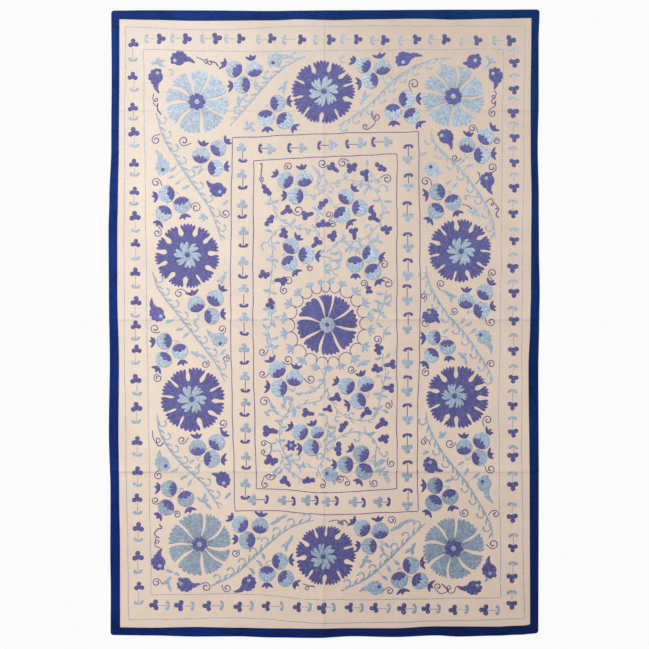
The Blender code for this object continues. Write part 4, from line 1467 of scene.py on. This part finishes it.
class SUZANI_OT_details(bpy.types.Operator):
    """Sews the leaves, tendrils, sprigs and buds between the larger motifs"""

    bl_idname = "suzani.details"
    bl_label = "Sew the small motifs"

    def execute(self, context):
        rng = np.random.default_rng(3)
        thin = context.scene.suzani_sizes.tendril_width
        dark, light = sew("lobed_leaves_indigo", INDIGO), sew("lobed_leaves_sky", SKY)
        for k, leaf_places in enumerate(LOBED_INDIGO):
            serrated_leaf(dark, light, *leaf_places, rng.uniform(0.35, 0.65), k)
        for k, leaf_places in enumerate(LOBED_SKY):
            serrated_leaf(light, dark, *leaf_places, rng.uniform(0.35, 0.65), 50 + k)
        sprigs = sew("leaf_sprigs", SKY)
        for middle, *tips in SPRIGS:
            tone = rng.uniform(0.4, 0.65)
            sprigs.lobed(at(*middle), [(0.0, 0.0, 2.8 * UNIT)], tone=tone, samples=16, rings=1)
            for tip in tips:
                leaf(sprigs, at(*middle), at(*tip), 4.5 * UNIT, tone=tone, bend=rng.uniform(-0.15, 0.15))
        tendrils, pale = sew("tendrils_indigo", INDIGO), sew("tendrils_sky", SKY)
        for k, (middle, radius, start) in enumerate(SPIRALS):
            spiral(tendrils, middle, radius, start, thin, 1 if k % 2 else -1, rng.uniform(0.0, 0.3))
        for k, (middle, radius, start) in enumerate(SPIRALS_SKY):
            comma(pale, middle, radius, start, 1 if k % 2 else -1)
        for start, middle, end, width in BLADES:
            widths = tuple(w * width * UNIT for w in (0.4, 1.0, 0.9, 0.25))
            pale.line([at(*start), at(*middle), at(*end)], widths, tone=0.5)
        for places in TENDRILS:
            tendrils.line([at(*p) for p in places], (thin, thin, thin * 1.6), tone=0.25, step=0.0028)
        buds = sew("middle_buds", INDIGO)
        for px, py, degrees, size in BUDS:
            bud(buds, (px, py), degrees, size, rng.uniform(0.2, 0.45), int(px * py))
        flower_disc(buds, SMALL_FLOWER, 6.2, 6)
        flower_disc(light, SMALL_FLOWER, 2.2, 5, height=0.0026)
        vines = sew("middle_vines", SKY)
        for places in MIDDLE_VINES:
            points = [at(*p) for p in places]
            vines.line(points, units(1.2, 1.8, 1.8, 1.2), tone=0.4)
            hooks_along(vines, smooth_path(points, 0.003)[0], 8.5 * UNIT, 0.5)
        leaves = sew("small_leaves", SKY)
        sew_leaves(leaves, FIELD_LEAVES, [line[1:] for line in FIELD_VINES], 4.3, 1)
        sew_leaves(leaves, MIDDLE_LEAVES, MIDDLE_VINES, 4.3, 2)
        done(dark, light, sprigs, tendrils, pale, buds, vines, leaves)
        return {"FINISHED"}


# The stage: the floor's width and how far it lies below the cloth, and the camera's height, all in metres.
FLOOR_WIDTH = 240
FLOOR_DROP = 0.0006
CAMERA_HEIGHT = 6.0
# The width of the photo in pixels and of the camera's sensor in mm.
PICTURE = 649
SENSOR_MM = 36
# The floor: the share of its colour that takes light, and the strength of its own light.
FLOOR_TAKES = 0.125
FLOOR_GLOWS = 0.879
# The strengths of the even light and of the lamp, and the lamp's width and tilt in degrees.
WORLD_STRENGTH = 0.62
LAMP_STRENGTH = 1.9
LAMP_WIDTH = 14
LAMP_TILT = -38


class SUZANI_OT_stage(bpy.types.Operator):
    """Sets the pale floor, the soft studio light and the camera straight above"""

    bl_idname = "suzani.stage"
    bl_label = "Set the stage"

    def execute(self, context):
        scene = context.scene
        deselect()
        bpy.ops.mesh.primitive_plane_add(size=FLOOR_WIDTH, location=(0, 0, 0))
        floor = bpy.context.object
        floor.name = "floor"
        pick(floor)
        bpy.ops.transform.translate(value=(0, 0, -FLOOR_DROP))
        bpy.ops.object.transform_apply(location=True)
        paper, _, shader = new_material("pale_paper_floor", 0.9, 0.0)
        # Mostly its own light, so that it stays even and takes only a faint shadow.
        pale = scene.suzani_colours.floor
        shader.inputs["Base Color"].default_value = (*(FLOOR_TAKES * part for part in pale), 1)
        shader.inputs["Emission Color"].default_value = (*pale, 1)
        shader.inputs["Emission Strength"].default_value = FLOOR_GLOWS
        floor.data.materials.append(paper)
        world = bpy.data.worlds.new("studio")
        scene.world = world
        world.use_nodes = True
        sky = world.node_tree.nodes["Background"]
        sky.inputs[0].default_value = (1, 1, 1, 1)
        sky.inputs[1].default_value = WORLD_STRENGTH
        lamp = bpy.data.lights.new("window_light", "SUN")
        lamp.energy = LAMP_STRENGTH
        lamp.angle = math.radians(LAMP_WIDTH)
        window = new_object("window_light", lamp)
        window.rotation_euler = (math.radians(LAMP_TILT), math.radians(LAMP_TILT), 0)
        lens = bpy.data.cameras.new("camera")
        lens.sensor_width = SENSOR_MM
        lens.lens = SENSOR_MM * CAMERA_HEIGHT / (PICTURE * UNIT)
        lens.clip_end = 400
        camera = new_object("camera", lens)
        camera.location = (*at(PICTURE / 2, PICTURE / 2), CAMERA_HEIGHT)
        scene.camera = camera
        scene.view_settings.view_transform = "Standard"
        scene.view_settings.look = "None"
        return {"FINISHED"}


class SuzaniSizes(bpy.types.PropertyGroup):
    """Sizes of the sewing that a user would change"""

    line_width: FloatProperty(
        name="Frame line width", description="Width of the straight sewn lines", default=0.0034,
        subtype="DISTANCE", unit="LENGTH",
    )
    tendril_width: FloatProperty(
        name="Tendril width", description="Width of the sewn tendrils", default=0.0043,
        subtype="DISTANCE", unit="LENGTH",
    )


class SuzaniColours(bpy.types.PropertyGroup):
    """Colours that a user would change"""

    ground: FloatVectorProperty(
        name="Ground", description="Colour of the ground cotton at its top left",
        default=linear(GROUND_COLOURS[0]), size=3, subtype="COLOR",
    )
    edging: FloatVectorProperty(
        name="Edging", description="Colour of the edging at its top left",
        default=linear(EDGING_COLOURS[0]), size=3, subtype="COLOR",
    )
    indigo: FloatVectorProperty(
        name="Indigo thread", description="Colour of the dark thread at the top left",
        default=linear(INDIGO_COLOURS[0]), size=3, subtype="COLOR",
    )
    sky: FloatVectorProperty(
        name="Sky thread", description="Colour of the light thread at the top left",
        default=linear(SKY_COLOURS[0]), size=3, subtype="COLOR",
    )
    floor: FloatVectorProperty(
        name="Floor", description="Colour of the pale floor",
        default=linear("#fafafa"), size=3, subtype="COLOR",
    )


class SUZANI_PT_panel(bpy.types.Panel):
    """Lists the steps in order"""

    bl_idname = "SUZANI_PT_panel"
    bl_label = "Suzani"
    bl_space_type = "VIEW_3D"
    bl_region_type = "UI"
    bl_category = "Suzani"

    def draw(self, context):
        for group in (context.scene.suzani_sizes, context.scene.suzani_colours):
            for key in group.__annotations__:
                self.layout.prop(group, key)
        for step in STEPS:
            self.layout.operator(step.bl_idname)


# The order in which the cover is made.
STEPS = [
    SUZANI_OT_ground, SUZANI_OT_edging, SUZANI_OT_lines, SUZANI_OT_border_sprigs, SUZANI_OT_rosettes,
    SUZANI_OT_fruits, SUZANI_OT_vines, SUZANI_OT_details, SUZANI_OT_stage,
]


def register():
    for item in [SuzaniSizes, SuzaniColours, *STEPS, SUZANI_PT_panel]:
        bpy.utils.register_class(item)
    bpy.types.Scene.suzani_sizes = PointerProperty(type=SuzaniSizes)
    bpy.types.Scene.suzani_colours = PointerProperty(type=SuzaniColours)


def unregister():
    del bpy.types.Scene.suzani_colours
    del bpy.types.Scene.suzani_sizes
    for item in reversed([SuzaniSizes, SuzaniColours, *STEPS, SUZANI_PT_panel]):
        bpy.utils.unregister_class(item)


def main():
    register()
    bpy.ops.suzani.ground()
    bpy.ops.suzani.edging()
    bpy.ops.suzani.lines()
    bpy.ops.suzani.border_sprigs()
    bpy.ops.suzani.rosettes()
    bpy.ops.suzani.fruits()
    bpy.ops.suzani.vines()
    bpy.ops.suzani.details()
    bpy.ops.suzani.stage()


if __name__ == "__main__":
    main()
